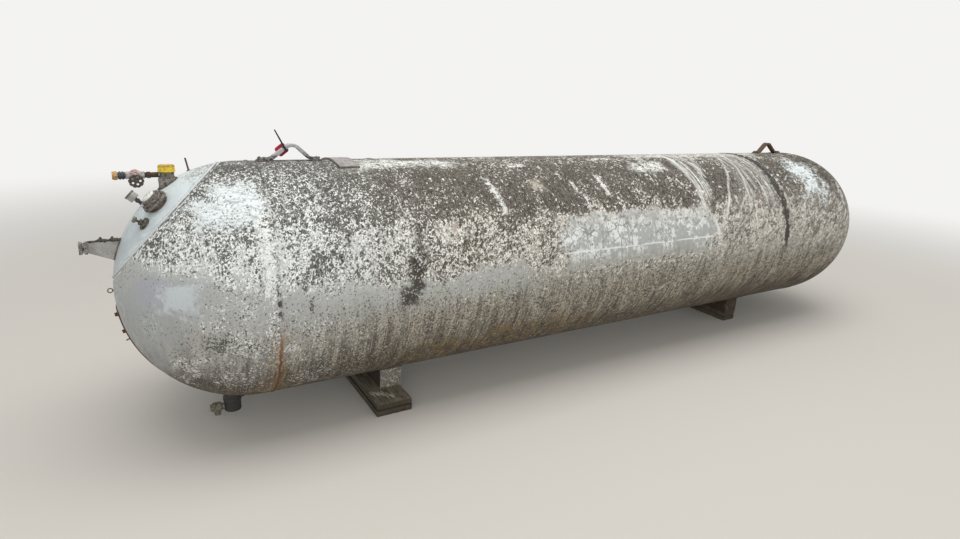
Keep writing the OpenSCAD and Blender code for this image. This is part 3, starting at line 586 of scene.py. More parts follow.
    # white scrapes: bands where a sling rubbed, smears on top and one long scratch
    threads = ease(plus(strands, times(hair, 0.4)), -0.15, 0.35)
    scrapes = most(
        product(line(0.600, 0.0002, 0.032, (30, 92), 5.0, patchy), times(threads, 0.6, 0.45)),
        product(line(0.744, -0.0035, 0.018, (9, 38), 4.0, patchy), times(threads, 0.7, 0.30)),
        product(line(0.545, 0.0024, 0.085, (38, 92), 8.0, patchy), times(threads, 0.95, 0.05)),
        product(line(0.490, 0.0042, 0.026, (36, 92), 6.0, patchy), times(threads, 0.8, 0.20)),
        product(line(0.640, 0.0058, 0.016, (22, 92), 5.0, patchy), times(threads, 0.6, 0.40)),
        product(line(0.930, 0.0030, 0.016, (38, 92), 3.0, patchy), times(threads, 0.5, 0.50)),
        product(line(0.675, 0.0090, 0.014, (22, 39), 3.0, patchy), times(threads, 0.6, 0.35)),
        product(line(0.845, 0.0052, 0.040, (30, 92), 6.0, patchy), threads, 0.8),
        product(line(1.130, 0.0016, 0.050, (30, 90), 6.0, patchy), threads, 0.8),
        product(line(1.27, 0.0006, 0.100, (38, 88), 9.0, patchy), times(threads, 0.8, 0.12)),
        product(patch((0.98, 1.37), 0.04, (36, 82), 7.0, patchy), times(threads, 0.55, 0.04)),
    )
    smears = product(
        most(
            patch((-1.44, -0.88), 0.06, (74, 84), 3.5, patchy),
             patch((-0.60, -0.50), 0.02, (71, 75), 1.2),
            patch((0.02, 0.14), 0.02, (78, 82), 1.2), patch((0.24, 0.50), 0.05, (63, 73), 3.5,
                                                            patchy),
            line(-0.700, -0.0016, 0.024, (37, 60), 2.0),
             line(-0.050, -0.0008, 0.022, (43, 60), 2.0),
            line(-0.245, 0.0, 0.015, (36, 45), 2.0), line(-0.290, 0.0, 0.015, (47, 55), 2.0),
            product(patch((0.30, 1.50), 0.10, (81, 94), 2.5, patchy), 0.75),
        ),
        ease(plus(times(stroke, 0.6), times(ragged, 0.9), times(small["Value"], 1.4)), 0.30, 0.75),
    )
    scratch = product(patch((-0.46, 0.64), 0.012, (11.4, 12.3), 0.20, patchy),
                      ease(ragged, -0.5, 0.0))
    colour = tint(colour, most(scrapes, smears, scratch), (0.86, 0.855, 0.80), 0.88)
    colour = tint(colour, product(patch((-0.55, -0.48), 0.02, (50, 58), 2.0),
                                  ease(ragged, -0.3, 0.2)), (0.56, 0.50, 0.42), 0.7)
    colour = tint(colour, line(-1.487, -0.0016, 0.0060, (72, 92), 1.5), (0.03, 0.027, 0.022), 0.9)
    groove = line(NEAR_X + TANK_LEN - SEAM_IN, 0.0, ease(up, 0.0, 0.9, 0.032, 0.056), (-3, 112),
                  5.0)
    colour = tint(colour, groove, (0.022, 0.019, 0.014), 0.95)
    sweeps = product(ease(sweep, 0.22, 0.50), most(dirt, product(growth, 0.4)))
    colour = tint(colour, sweeps, (0.50, 0.455, 0.375), 0.55)

    # rust bloom on the weld beads, and a fine dust over all
    bloom = product(s.taken["Bead"], ease(ragged, -0.1, 0.3))
    colour = tint(colour, bloom, (0.14, 0.085, 0.05), 0.6)
    colour = tint(colour, ease(fine, 0.0, 0.9), (0.42, 0.39, 0.33), 0.20)

    rough = times(most(growth, dirt), 0.26, 0.58)
    rough = times(most(washed, band), -0.08, rough)
    # the height depends on little, since a deep tree overflows the renderer's stack
    bumps = times(small["Value"], 0.9, product(ragged, 0.20))
    return s.give(Color=colour, Roughness=rough, Height=times(fine, 0.15, bumps))


def metal_group():
    """Old bare or painted metal: a coat, rust that takes part of it, dirt in its hollows."""
    takes = {"Place": None, "Coat": (0.3, 0.3, 0.3, 1), "Rust": 0.4, "Dirt": 0.3, "Scale": 60.0,
             "Rust Tone": 1.0}
    s = new_group("old metal", takes, "Color", "Roughness", "Height", "Rusted")
    place, size = s.taken["Place"], s.taken["Scale"]
    wide = s.cloud(place, s.product(size, 0.35), 3.0, 0.6)
    small = s.cloud(place, size, 4.0, 0.68)
    grain = s.cloud(place, s.product(size, 6.0), 2.0, 0.6)
    level = s.times(s.taken["Rust"], -0.36, 0.68)
    rusted = s.ease(
        s.times(small, 0.45, s.product(wide, 0.55)),
        s.minus(level, 0.035), s.plus(level, 0.035),
    )
    rust = s.blend(s.ease(grain, 0.36, 0.62), (0.075, 0.034, 0.017, 1), (0.215, 0.105, 0.048, 1))
    rust = s.blend(s.ease(wide, 0.40, 0.66, 0.0, 0.6), rust, (0.060, 0.040, 0.028, 1))
    rust = s.blend(s.taken["Rust Tone"], (0.022, 0.012, 0.008, 1), rust)
    coat = s.blend(s.ease(grain, 0.30, 0.70, 0.0, 0.25), s.taken["Coat"], (0.20, 0.18, 0.15, 1))
    colour = s.blend(rusted, coat, rust)
    spots = s.ease(s.times(small, 0.7, s.product(grain, 0.3)), 0.44, 0.58)
    grime = s.product(spots, s.taken["Dirt"])
    colour = s.blend(grime, colour, (0.060, 0.050, 0.037, 1))
    dust = s.product(s.ease(wide, 0.52, 0.70), s.taken["Dirt"])
    colour = s.blend(s.product(dust, 0.35), colour, (0.36, 0.32, 0.26, 1))
    s.give(Color=colour)
    s.give(Roughness=s.times(s.most(rusted, grime), 0.34, 0.50))
    s.give(Height=s.times(rusted, 0.5, s.product(grain, 0.6)))
    s.give(Rusted=rusted)
    return s.tree


def wood_group():
    """Weathered board along Y: grain, checks, pale fibres and dirt, with darker ends."""
    takes = {"Place": None, "Turn": 0.0, "Half Length": 0.36}
    s = new_group("old board", takes, "Color", "Roughness", "Height")
    moved = s.vector_maths("ADD", s.taken["Place"], s.taken["Turn"])
    parts = s.split(s.taken["Place"])
    grain = s.cloud(s.stretch(moved, (95.0, 5.0, 95.0)), 1.0, 4.0, 0.68, 0.4)
    fibre = s.cloud(s.stretch(moved, (420.0, 16.0, 420.0)), 1.0, 3.0, 0.6)
    blotch = s.cloud(moved, 26.0, 4.0, 0.65)
    checks = s.ease(s.cloud(s.stretch(moved, (85.0, 2.6, 85.0), (4, 2, 8)), 1.0, 2.0, 0.5), 0.37,
                    0.33)
    colour = s.blend(s.ease(grain, 0.36, 0.64), (0.125, 0.103, 0.068, 1), (0.265, 0.222, 0.160, 1))
    colour = s.blend(s.ease(blotch, 0.52, 0.66, 0.0, 0.65), colour, (0.105, 0.095, 0.058, 1))
    colour = s.blend(s.ease(blotch, 0.47, 0.36, 0.0, 0.45), colour, (0.33, 0.29, 0.22, 1))
    colour = s.blend(s.ease(fibre, 0.62, 0.74, 0.0, 0.6), colour, (0.44, 0.39, 0.31, 1))
    colour = s.blend(s.product(checks, 0.85), colour, (0.030, 0.023, 0.015, 1))
    reach = s.minus(s.unsigned(parts[1]), s.taken["Half Length"])
    side = s.ease(parts[2], BOARDS_TOP - 0.0006, BOARDS_TOP - 0.0022)
    colour = s.blend(s.product(side, 0.62), colour, (0.040, 0.029, 0.018, 1))
    colour = s.blend(s.ease(reach, -0.005, -0.001, 0.0, 0.75), colour, (0.052, 0.038, 0.022, 1))
    meet = s.ease(s.unsigned(s.minus(parts[2], BOARD_JOINT)), 0.0042, 0.0010, 0.0, 0.9)
    colour = s.blend(meet, colour, (0.030, 0.024, 0.017, 1))
    s.give(Color=colour)
    s.give(Roughness=s.times(fibre, 0.12, 0.80))
    lift = s.times(grain, 0.5, s.product(fibre, 0.5))
    s.give(Height=s.times(checks, -1.2, lift))
    return s.tree


WEATHERING = weathering_group()
METAL = metal_group()
WOOD = wood_group()


def start_material(name):
    """A material with its object place and shader: returns the sheet, the place and the shader."""
    material = bpy.data.materials.new(name)
    material.use_nodes = True
    tree = material.node_tree
    tree.nodes.clear()
    sheet = Sheet(tree)
    place = sheet.add("ShaderNodeTexCoord").outputs["Object"]
    shader = sheet.add("ShaderNodeBsdfPrincipled")
    out = sheet.add("ShaderNodeOutputMaterial")
    tree.links.new(shader.outputs[0], out.inputs["Surface"])
    return material, sheet, place, shader


def wire_looks(sheet, shader, looks, strength, depth, colour=None):
    """Wires a colour, a roughness and a bump of that strength and depth to the shader."""
    tree = sheet.tree
    tree.links.new(colour or looks["Color"], shader.inputs["Base Color"])
    tree.links.new(looks["Roughness"], shader.inputs["Roughness"])
    bump = sheet.add(
        "ShaderNodeBump", {"Strength": strength, "Distance": depth, "Height": looks["Height"]}
    )
    tree.links.new(bump.outputs[0], shader.inputs["Normal"])


def weathered_paint(name, bead=0.0):
    material, sheet, place, shader = start_material(name)
    looks = sheet.use(WEATHERING, Place=place, Bead=bead)
    wire_looks(sheet, shader, looks, 0.55, 0.0022)
    return material


def old_metal(name, coat, rust, dirt, scale=60.0, metallic=0.0, strength=0.5, depth=0.001,
              tone=1.0):
    material, sheet, place, shader = start_material(name)
    looks = sheet.use(
        METAL, Place=place, Coat=(*coat, 1), Rust=rust, Dirt=dirt, Scale=scale, Rust_Tone=tone
    )
    wire_looks(sheet, shader, looks, strength, depth)
    if metallic:
        shine = sheet.times(looks["Rusted"], -metallic, metallic)
        sheet.tree.links.new(shine, shader.inputs["Metallic"])
    return material


def valve_paint():
    """Pale valve body with what is left of a red coat on its upper side."""
    material, sheet, place, shader = start_material("valve_iron")
    looks = sheet.use(METAL, Place=place, Coat=(0.58, 0.54, 0.51, 1), Rust=0.22, Dirt=0.6,
                      Scale=140.0,
                      Rust_Tone=0.7)
    height = sheet.split(place)[2]
    grain = sheet.cloud(place, 90.0, 4.0, 0.6)
    red = sheet.product(
        sheet.ease(height, AXIS_Z + OUTLET_Z + 0.004, AXIS_Z + OUTLET_Z + 0.018),
                        sheet.ease(grain, 0.50, 0.58), 0.75
    )
    colour = sheet.blend(red, looks["Color"], (0.55, 0.10, 0.07, 1))
    wire_looks(sheet, shader, looks, 0.5, 0.001, colour)
    return material


def cap_plastic():
    """Yellow cap: faded, with orange stains, dirt in its grip and round its top edge."""
    material, sheet, place, shader = start_material("yellow_cap")
    wide = sheet.cloud(place, 42.0, 3.0)
    small = sheet.cloud(place, 130.0, 4.0, 0.68)
    height = sheet.split(place)[2]
    top = AXIS_Z + CAP_TOP
    edge = sheet.product(sheet.ease(height, top - 0.010, top - 0.004),
                         sheet.ease(height, top - 0.0002, top - 0.0016))
    colour = sheet.blend(sheet.ease(wide, 0.42, 0.62), (0.85, 0.66, 0.035, 1),
                         (0.82, 0.50, 0.02, 1))
    colour = sheet.blend(sheet.ease(small, 0.54, 0.62, 0.0, 0.85), colour, (0.66, 0.24, 0.02, 1))
    colour = sheet.blend(sheet.ease(small, 0.44, 0.37, 0.0, 0.8), colour, (0.20, 0.15, 0.05, 1))
    dirt = sheet.product(edge, sheet.ease(small, 0.40, 0.52))
    colour = sheet.blend(sheet.product(dirt, 0.85), colour, (0.13, 0.095, 0.04, 1))
    colour = sheet.blend(sheet.ease(wide, 0.60, 0.72, 0.0, 0.6), colour, (0.86, 0.80, 0.45, 1))
    looks = {"Color": colour, "Roughness": sheet.times(small, 0.3, 0.35), "Height": small}
    wire_looks(sheet, shader, looks, 0.3, 0.0006)
    return material


def plain_plastic(name, colour, dull, dirt_colour, scale=90.0, share=0.5):
    material, sheet, place, shader = start_material(name)
    small = sheet.cloud(place, scale, 4.0, 0.6)
    mixed = sheet.blend(sheet.ease(small, 0.50, 0.66, 0.0, share), (*colour, 1), (*dirt_colour, 1))
    looks = {"Color": mixed, "Roughness": sheet.times(small, 0.3, dull - 0.15), "Height": small}
    wire_looks(sheet, shader, looks, 0.25, 0.0005)
    return material


def board_wood(name, shift, half=0.36):
    material, sheet, place, shader = start_material(name)
    looks = sheet.use(WOOD, Place=place, Turn=shift, Half_Length=half)
    wire_looks(sheet, shader, looks, 0.8, 0.003)
    return material


def lug_paint():
    """Pale lug bar, with growth on its feet and on the lower part of the leg away from the head."""
    material, sheet, place, shader = start_material("lug_paint")
    looks = sheet.use(METAL, Place=place, Coat=(0.57, 0.58, 0.59, 1), Rust=0.10, Dirt=0.30,
                      Scale=60.0, Rust_Tone=0.5)
    crust = sheet.use(CRUST, Place=place, Size=190.0, Pale_Cover=0.20, Dark_Cover=0.62)
    parts = sheet.split(place)
    height = sheet.minus(parts[2], AXIS_Z + TANK_R)
    leg = sheet.product(
        sheet.ease(parts[0], NEAR_X + 0.245, NEAR_X + 0.285),
                        sheet.ease(height, 0.062, 0.030, 0.15, 0.62)
    )
    grown = sheet.most(sheet.ease(height, 0.030, 0.018), leg)
    colour = sheet.blend(sheet.product(grown, 0.55), looks["Color"], (0.20, 0.175, 0.135, 1))
    colour = sheet.blend(sheet.product(crust["Dark"], grown, 0.9), colour, (0.030, 0.027, 0.018, 1))
    wire_looks(sheet, shader, looks, 0.3, 0.001, colour)
    return material


def saddle_paint():
    """Pale flaking paint on the saddle's end faces; dark rust with painted shade on its faces under
    the tank.
    """
    material, sheet, place, shader = start_material("saddle_paint")
    # painted shade: the faces under the tank get a near-black rusty coat, darker than the rust
    # alone
    bare = sheet.use(METAL, Place=place, Coat=(0.024, 0.018, 0.013, 1), Rust=0.5, Dirt=0.2,
                     Scale=40.0, Rust_Tone=0.2)
    painted = sheet.use(METAL, Place=place, Coat=(0.27, 0.245, 0.205, 1), Rust=0.16, Dirt=0.65,
                        Scale=110.0, Rust_Tone=0.5)
    side = sheet.unsigned(sheet.split(place)[1])
    end = sheet.ease(side, 0.2055, 0.2085)
    flakes = sheet.use(CRUST, Place=place, Size=130.0, Pale_Cover=0.22)["Pale"]
    colour = sheet.blend(end, bare["Color"], painted["Color"])
    colour = sheet.blend(sheet.product(flakes, end, 0.8), colour, (0.62, 0.58, 0.51, 1))
    wire_looks(sheet, shader, painted, 0.5, 0.0014, colour)
    return material


# each metal's coat, share of rust, share of dirt and grain, then what differs from the usual
METALS = {
    "rim_paint": ((0.74, 0.77, 0.77), 0.06, 0.25, 70.0),
    "pad_paint": ((0.40, 0.365, 0.36), 0.10, 0.40, 30.0, dict(strength=0.3)),
    "bracket_paint": ((0.44, 0.42, 0.40), 0.12, 0.32, 34.0, dict(depth=0.002, tone=0.4)),
    "rusty_steel": ((0.13, 0.10, 0.08), 0.85, 0.55, 80.0, dict(depth=0.0014)),
    "grimy_steel": ((0.22, 0.195, 0.165), 0.28, 0.85, 120.0, dict(depth=0.0014, tone=0.6)),
    "handwheel_iron": ((0.078, 0.060, 0.052), 0.35, 0.70, 160.0, dict(tone=0.55)),
    "dark_steel": ((0.022, 0.027, 0.040), 0.10, 0.25, 140.0),
    "brass": ((0.60, 0.33, 0.10), 0.25, 0.35, 150.0, dict(metallic=0.4)),
    "gauge_case": ((0.50, 0.49, 0.45), 0.08, 0.30, 130.0),
    "pipe_rust": ((0.050, 0.028, 0.018), 0.7, 0.35, 130.0, dict(tone=0.35, depth=0.0016)),
    "drain_iron": ((0.225, 0.215, 0.155), 0.36, 0.80, 90.0, dict(tone=0.5, depth=0.0014)),
    # near-black coupling: its own dark paint, darkened further as painted shade under the head
    "drain_black_and_shade": ((0.010, 0.010, 0.012), 0.08, 0.08, 90.0, dict(depth=0.0014)),
    "moss_crust": ((0.165, 0.165, 0.115), 0.48, 0.9, 200.0,
                   dict(depth=0.004, strength=1.0, tone=0.1)),
    "weld_crust": ((0.155, 0.13, 0.10), 0.45, 0.8, 90.0, dict(depth=0.002, strength=0.8, tone=0.7)),
    "nozzle_paint": ((0.40, 0.37, 0.325), 0.20, 0.95, 110.0,
                     dict(depth=0.002, strength=0.8, tone=0.5)),
    "clamp_paint": ((0.33, 0.32, 0.29), 0.30, 1.0, 120.0, dict(depth=0.002, tone=0.3)),
    # painted shade: the gauge's bezel ring gets a darker coat for its shadowed edge
    "gauge_rim_painted_shade": ((0.150, 0.145, 0.135), 0.15, 0.5, 160.0, dict(tone=0.5)),
    "shaded_steel": ((0.020, 0.014, 0.010), 0.70, 0.5, 60.0, dict(depth=0.0014, tone=0.25)),
}
LOOKS = {
    "weathered_paint": weathered_paint("weathered_paint"),
    "weld_bead": weathered_paint("weld_bead", 0.6),
    "lug_paint": lug_paint(),
    "saddle_paint": saddle_paint(),
    "valve_iron": valve_paint(),
    "yellow_cap": cap_plastic(),
    "dial_white": plain_plastic("dial_white", (0.80, 0.79, 0.73), 0.35, (0.50, 0.47, 0.38)),
    "red_plastic": plain_plastic("red_plastic", (0.50, 0.006, 0.030), 0.5, (0.24, 0.01, 0.02),
                                 60.0),
    "black_plastic": plain_plastic("black_plastic", (0.006, 0.006, 0.007), 0.6,
                                   (0.02, 0.018, 0.016)),
    "old_wood": board_wood("old_wood", 0.0),
}
for metal, (coat, rust, dirt, grain, *differs) in METALS.items():
    LOOKS[metal] = old_metal(metal, coat, rust, dirt, grain, **(differs[0] if differs else {}))


def dress_frame():
    slots = {row["node"]: row["material_slot"] for row in frame["record"]["subparts"]}
    for name, node in frame["nodes"].items():
        node.data.materials.clear()
        look = "shaded_steel" if name == "saddle_far" else slots[name]
        node.data.materials.append(LOOKS[look])


dress_frame()


# ---------------------------------------------------------------- mesh helpers
def turned(profile, steps=40):
    """A closed turned shape: (radius, height) pairs spun round local Z."""
    bm = bmesh.new()
    points = [bm.verts.new((r, 0, h)) for r, h in profile]
    rim = [bm.edges.new(pair) for pair in zip(points, points[1:])]
    bmesh.ops.spin(
        bm, geom=points + rim, cent=(0, 0, 0), axis=(0, 0, 1), angle=2 * math.pi, steps=steps,
                   use_merge=True
    )
    bmesh.ops.remove_doubles(bm, verts=bm.verts[:], dist=WELD_GAP)
    bmesh.ops.recalc_face_normals(bm, faces=bm.faces[:])
    return bm


def thread(radius, low, high, pitch=0.002, depth=0.0007):
    """Points of a threaded length, from low to high."""
    rows, count = [], max(1, int((high - low) / pitch))
    for i in range(count):
        rows += [(radius, low + i * pitch), (radius - depth, low + (i + 0.5) * pitch)]
    return rows + [(radius, high)]


def bevel_sharp(bm, width, angle=30, segments=2):
    """Rounds the edges that turn by more than the angle."""
    least = math.radians(angle)
    sharp = [e for e in bm.edges if len(e.link_faces) == 2 and e.calc_face_angle(0) > least]
    bmesh.ops.bevel(
        bm, geom=sharp, offset=width, offset_type="OFFSET", segments=segments, profile=0.5,
        affect="EDGES", material=-1, clamp_overlap=True,
    )
    return bm


def sided(radius, low, high, sides=6, bevel=0.0008, spin=0.0):
    """A bar with flat sides, such as a nut, from one height to another."""
    bm = bmesh.new()
    bmesh.ops.create_cone(bm, cap_ends=True, segments=sides, radius1=radius, radius2=radius,
                          depth=high - low)
    put(bm, turn(spin, "Z"))
    put(bm, shift(0, 0, (low + high) / 2))
    return bevel_sharp(bm, bevel)


def block(size, centre, bevel=0.001):
    bm = bmesh.new()
    bmesh.ops.create_cube(bm, size=1.0)
    bmesh.ops.scale(bm, verts=bm.verts[:], vec=size)
    bmesh.ops.translate(bm, verts=bm.verts[:], vec=centre)
    return bevel_sharp(bm, bevel)


def gather(*parts):
    whole = bmesh.new()
    for part in parts:
        carry = bpy.data.meshes.new("carry")
        part.to_mesh(carry)
        part.free()
        whole.from_mesh(carry)
        bpy.data.meshes.remove(carry)
    return whole


def put(bm, place):
    bmesh.ops.transform(bm, matrix=place, verts=bm.verts[:])
    return bm


def refine(bm, longest, rounds=3):
    for _ in range(rounds):
        edges = [e for e in bm.edges if e.calc_length() > longest]
        if not edges:
            break
        bmesh.ops.subdivide_edges(bm, edges=edges, cuts=1, use_grid_fill=True)
    return bm


def roughen(bm, amount, size, seed=0.0):
    """Pits of rust or grime: the skin only sinks, so a piece stays within its measured size."""
    bm.normal_update()
    shift = Vector((seed, seed * 1.7, seed * 0.6))
    moves = [v.normal * min(0.0,
                            noise.noise(v.co / size + shift) - 0.35) * amount for v in bm.verts]
    for v, move in zip(bm.verts, moves):
        v.co += move
    return bm


def make_piece(name, bm, slot, body="tank", stands_for=(), look=None, sharp=32):
    """Adds a piece: its look is its slot's, unless another one, or a material, is named."""
    mesh = bpy.data.meshes.new(name)
    bmesh.ops.triangulate(bm, faces=[f for f in bm.faces if len(f.verts) > 4])
    bm.to_mesh(mesh)
    bm.free()
    mesh.shade_smooth()
    mesh.set_sharp_from_angle(angle=math.radians(sharp))
    mesh.materials.append(LOOKS.get(look or slot, look))
    piece = show(name, mesh)
    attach(piece, body)
    if stands_for:
        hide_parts(*stands_for)
    return piece


def bead_line(points, radius, closed=False, seed=0.0, pitch=0.006, lump=0.22):
    """A weld bead laid along points, rippled as it was run."""
    curve = bpy.data.curves.new("bead", "CURVE")
    curve.dimensions = "3D"
    curve.bevel_depth = radius
    curve.bevel_resolution = 1
    curve.use_fill_caps = True
    line = curve.splines.new("POLY")
    line.points.add(len(points) - 1)
    gone = 0.0
    for i, point in enumerate(points):
        gone += (points[i] - points[i - 1]).length if i else 0.0
        line.points[i].co = (*point, 1)
        swell = noise.noise(Vector((gone * 90 + seed, seed, 0)))
        line.points[i].radius = 1 + lump * math.sin(gone / pitch * math.pi) + 0.35 * swell
    line.use_cyclic_u = closed
    holder = show("bead", curve)
    mesh = bpy.data.meshes.new_from_object(holder)
    bpy.data.objects.remove(holder)
    bm = bmesh.new()
    bm.from_mesh(mesh)
    bpy.data.meshes.remove(mesh)
    bmesh.ops.remove_doubles(bm, verts=bm.verts[:], dist=WELD_GAP)
    bmesh.ops.recalc_face_normals(bm, faces=bm.faces[:])
    return bm


def path(start, stop, step=0.003):
    start, stop = Vector(start), Vector(stop)
    count = max(2, int((stop - start).length / step))
    return [start.lerp(stop, i / count) for i in range(count + 1)]


def on_shell(x, angle, lift=0.0):
    """A point on the shell: x from the near dome's middle, angle from the near side."""
    a = math.radians(angle)
    return on_tank(x, -(TANK_R + lift) * math.cos(a), (TANK_R + lift) * math.sin(a))


def lumps(spots, size, seed=0):
    """Small crusts of moss and soil."""
    parts = []
    for i, spot in enumerate(spots):
        bm = bmesh.new()
        bmesh.ops.create_icosphere(bm, subdivisions=2, radius=size)
        shape = [0.8 + 0.5 * abs(noise.noise(Vector((i * 1.3 + k, seed, 0)))) for k in range(3)]
        bmesh.ops.scale(bm, verts=bm.verts[:], vec=(shape[0], shape[1], shape[2] * 0.6))
        roughen(bm, size * 0.6, size * 0.7, seed + i)
        bmesh.ops.translate(bm, verts=bm.verts[:], vec=spot)
        parts.append(bm)
    return gather(*parts)


# ---------------------------------------------------------------- fill nozzle and cap
def fill_fittings():
    stem = stand(on_tank(-FILL_X, 0, 0))
    r = FILL_R
    nozzle = turned(
        [(0, 0.405), (r - 0.0004, 0.405), (r - 0.0004, 0.424), (r, 0.428), (r, 0.446),
         (r + 0.001, 0.448),
         (r + 0.001, 0.456), (r - 0.001, 0.4585), (r - 0.002, FILL_TOP), (0, FILL_TOP)], 48)
    refine(nozzle, 0.006, 2)
    roughen(nozzle, 0.0009, 0.006, 3.1)
    make_piece("filler_nozzle", put(nozzle, stem), "grimy_steel", stands_for=["fill_nozzle"],
               look="nozzle_paint")

    foot = []
    for i in range(90):
        a = i / 90 * 2 * math.pi
        x, y = -FILL_X + (r + 0.001) * math.cos(a), (r + 0.001) * math.sin(a)
        foot.append(on_tank(x, y, skin(x, y) + 0.001))
    make_piece("nozzle_weld", bead_line(foot, 0.0048, True, 2.0), "grimy_steel", look="weld_crust")

    low, top = FILL_TOP, CAP_LOW
    body = turned(
        [(0, low), (0.030, low), (0.031, low + 0.001), (0.031, low + 0.0035), (0.028, low + 0.0045),
         (0.028, low + 0.009), (0.0265, low + 0.010), (0.0265, low + 0.013), (0.028, low + 0.014)]
        + thread(0.028, low + 0.015, top - 0.001) + [(0.027, top), (0, top)], 48)
    make_piece("filler_valve_body", put(roughen(body, 0.0004, 0.005, 1.2), stem), "grimy_steel",
               stands_for=["fill_valve"])

    low, top = CAP_LOW, CAP_TOP
    cap = turned(
        [(0, low + 0.0005), (0.0300, low), (0.0322, low + 0.0008), (0.0325, low + 0.002),
         (0.0325, low + 0.005),
         (0.0312, low + 0.006), (0.0312, top - 0.007), (0.0305, top - 0.0045),
         (0.0285, top - 0.0022),
         (0.0262, top - 0.0012), (0.0250, top - 0.0022), (0.0160, top - 0.0018),
         (0.0145, top - 0.0004),
         (0.0060, top), (0, top)], 144)
    for v in cap.verts:
        reach = math.hypot(v.co.x, v.co.y)
        if reach > 0.0295 and low + 0.0055 < v.co.z < top - 0.004:
            angle = math.atan2(v.co.y, v.co.x)
            groove = max(0.0, math.cos(angle * 24)) ** 2
            v.co.xy *= 1 - 0.055 * groove
    make_piece("filler_cap", put(cap, stem), "yellow_cap", stands_for=["fill_cap"])


# ---------------------------------------------------------------- outlet line
def outlet_line():
    start = 0.0285
    pipe = turned(
        [(0, start), (0.0112, start)] + thread(0.0112, start + 0.001, start + 0.012)
        + [(0.0107, start + 0.014), (0.0107, 0.056), (0.0112, 0.0575)]
        + thread(0.0112, 0.072, 0.078) + [(0.0112, 0.079), (0, 0.079)], 36)
    refine(pipe, 0.005, 2)
    roughen(pipe, 0.0010, 0.004, 5.0)
    collar = refine(sided(0.0143, 0.058, 0.072, 6, 0.0012), 0.006, 2)
    make_piece(
        "outlet_pipe", put(gather(pipe, roughen(collar, 0.0008, 0.005, 2.0)), along_outlet(FILL_X)),
               "rusty_steel",
        stands_for=["outlet_nipple"], look="pipe_rust")

    line = along_outlet(GLOBE_X - GLOBE_HALF)
    ends = [sided(0.016, 0, 0.014, 6, 0.0013), sided(0.016, 0.052, 0.066, 6, 0.0013)]
    neck = turned([(0, 0.001), (0.0126, 0.001), (0.0126, 0.012), (0.0150, 0.020), (0.0185, 0.027),
                   (0.0195, 0.033),
                   (0.0185, 0.039), (0.0150, 0.046), (0.0126, 0.054), (0.0126, 0.065), (0, 0.065)],
                  40)
    globe = turned([(0, -0.019), (0.010, -0.0188), (0.0165, -0.0165), (0.0212, -0.011),
                    (0.0230, -0.003),
                    (0.0230, 0.008), (0.0215, 0.015), (0.0195, 0.0185), (0.0195, 0.0228),
                    (0, 0.0228)], 44)
    shell = gather(put(gather(neck, *ends), line), put(globe, along_stem()))
    make_piece("valve_body", roughen(shell, 0.0005, 0.006, 7.0), "valve_iron",
               stands_for=["globe_valve"])

    bonnet = sided(0.0165, 0.0231, 0.0345, 6, 0.0014, 15)
    shoulder = turned([(0, 0.034), (0.0145, 0.034), (0.0138, 0.0365), (0.011, 0.0388), (0, 0.0388)],
                      32)
    gland = sided(0.0110, 0.0388, 0.0488, 6, 0.0010)
    make_piece("valve_bonnet_nuts", put(gather(bonnet, shoulder, gland), along_stem()),
               "valve_iron",
               stands_for=["valve_bonnet"])

    coupling = turned(
        [(0, 0), (0.0125, 0), (0.0132, 0.0012), (0.0132, 0.0055), (0.0160, 0.0065),
         (0.0165, 0.0080), (0.0165, 0.0100),
         (0.0150, 0.0112), (0.0138, 0.0128), (0.0138, 0.0152), (0.0150, 0.0168), (0.0165, 0.0180),
         (0.0165, 0.0200),
         (0.0158, 0.0218), (0.0132, 0.0228), (0.0132, 0.0270), (0.0126, 0.0280), (0, 0.0280)], 48)
    make_piece("dark_hose_coupling", put(coupling, along_outlet(GLOBE_X + GLOBE_HALF)),
               "dark_steel",
               stands_for=["hose_coupling"])

    nut = sided(0.0185, 0.0005, 0.0124, 6, 0.0016)
    lip = turned([(0.0135, 0.0120), (0.0155, 0.0120), (0.0155, 0.0168), (0.0146, 0.0180),
                  (0.0098, 0.0180),
                  (0.0092, 0.0172), (0.0092, 0.0102), (0.0, 0.0102), (0, 0.0090), (0.0135, 0.0090),
                  (0.0135, 0.0120)], 48)
    make_piece("brass_end_nut",
               put(gather(nut, lip), along_outlet(GLOBE_X + GLOBE_HALF + COUPLING_LEN)), "brass",
               stands_for=["brass_nut"])


def cut_holes(bm, cutters):
    """Cuts holes out of one closed shape, by way of throwaway objects."""
    holders = []
    for name, shape in (("uncut", bm), ("cutter", cutters)):
        mesh = bpy.data.meshes.new(name)
        shape.to_mesh(mesh)
        shape.free()
        holder = show(name, mesh)
        holders.append(holder)
    step = holders[0].modifiers.new("holes", "BOOLEAN")
    step.operation = "DIFFERENCE"
    step.solver = "EXACT"
    step.object = holders[1]
    shown = bpy.context.evaluated_depsgraph_get()
    shown.update()
    done = bpy.data.meshes.new_from_object(holders[0].evaluated_get(shown))
    cut = bmesh.new()
    cut.from_mesh(done)
    bpy.data.meshes.remove(done)
    for holder in holders:
        mesh = holder.data
        bpy.data.objects.remove(holder)
        bpy.data.meshes.remove(mesh)
    return cut


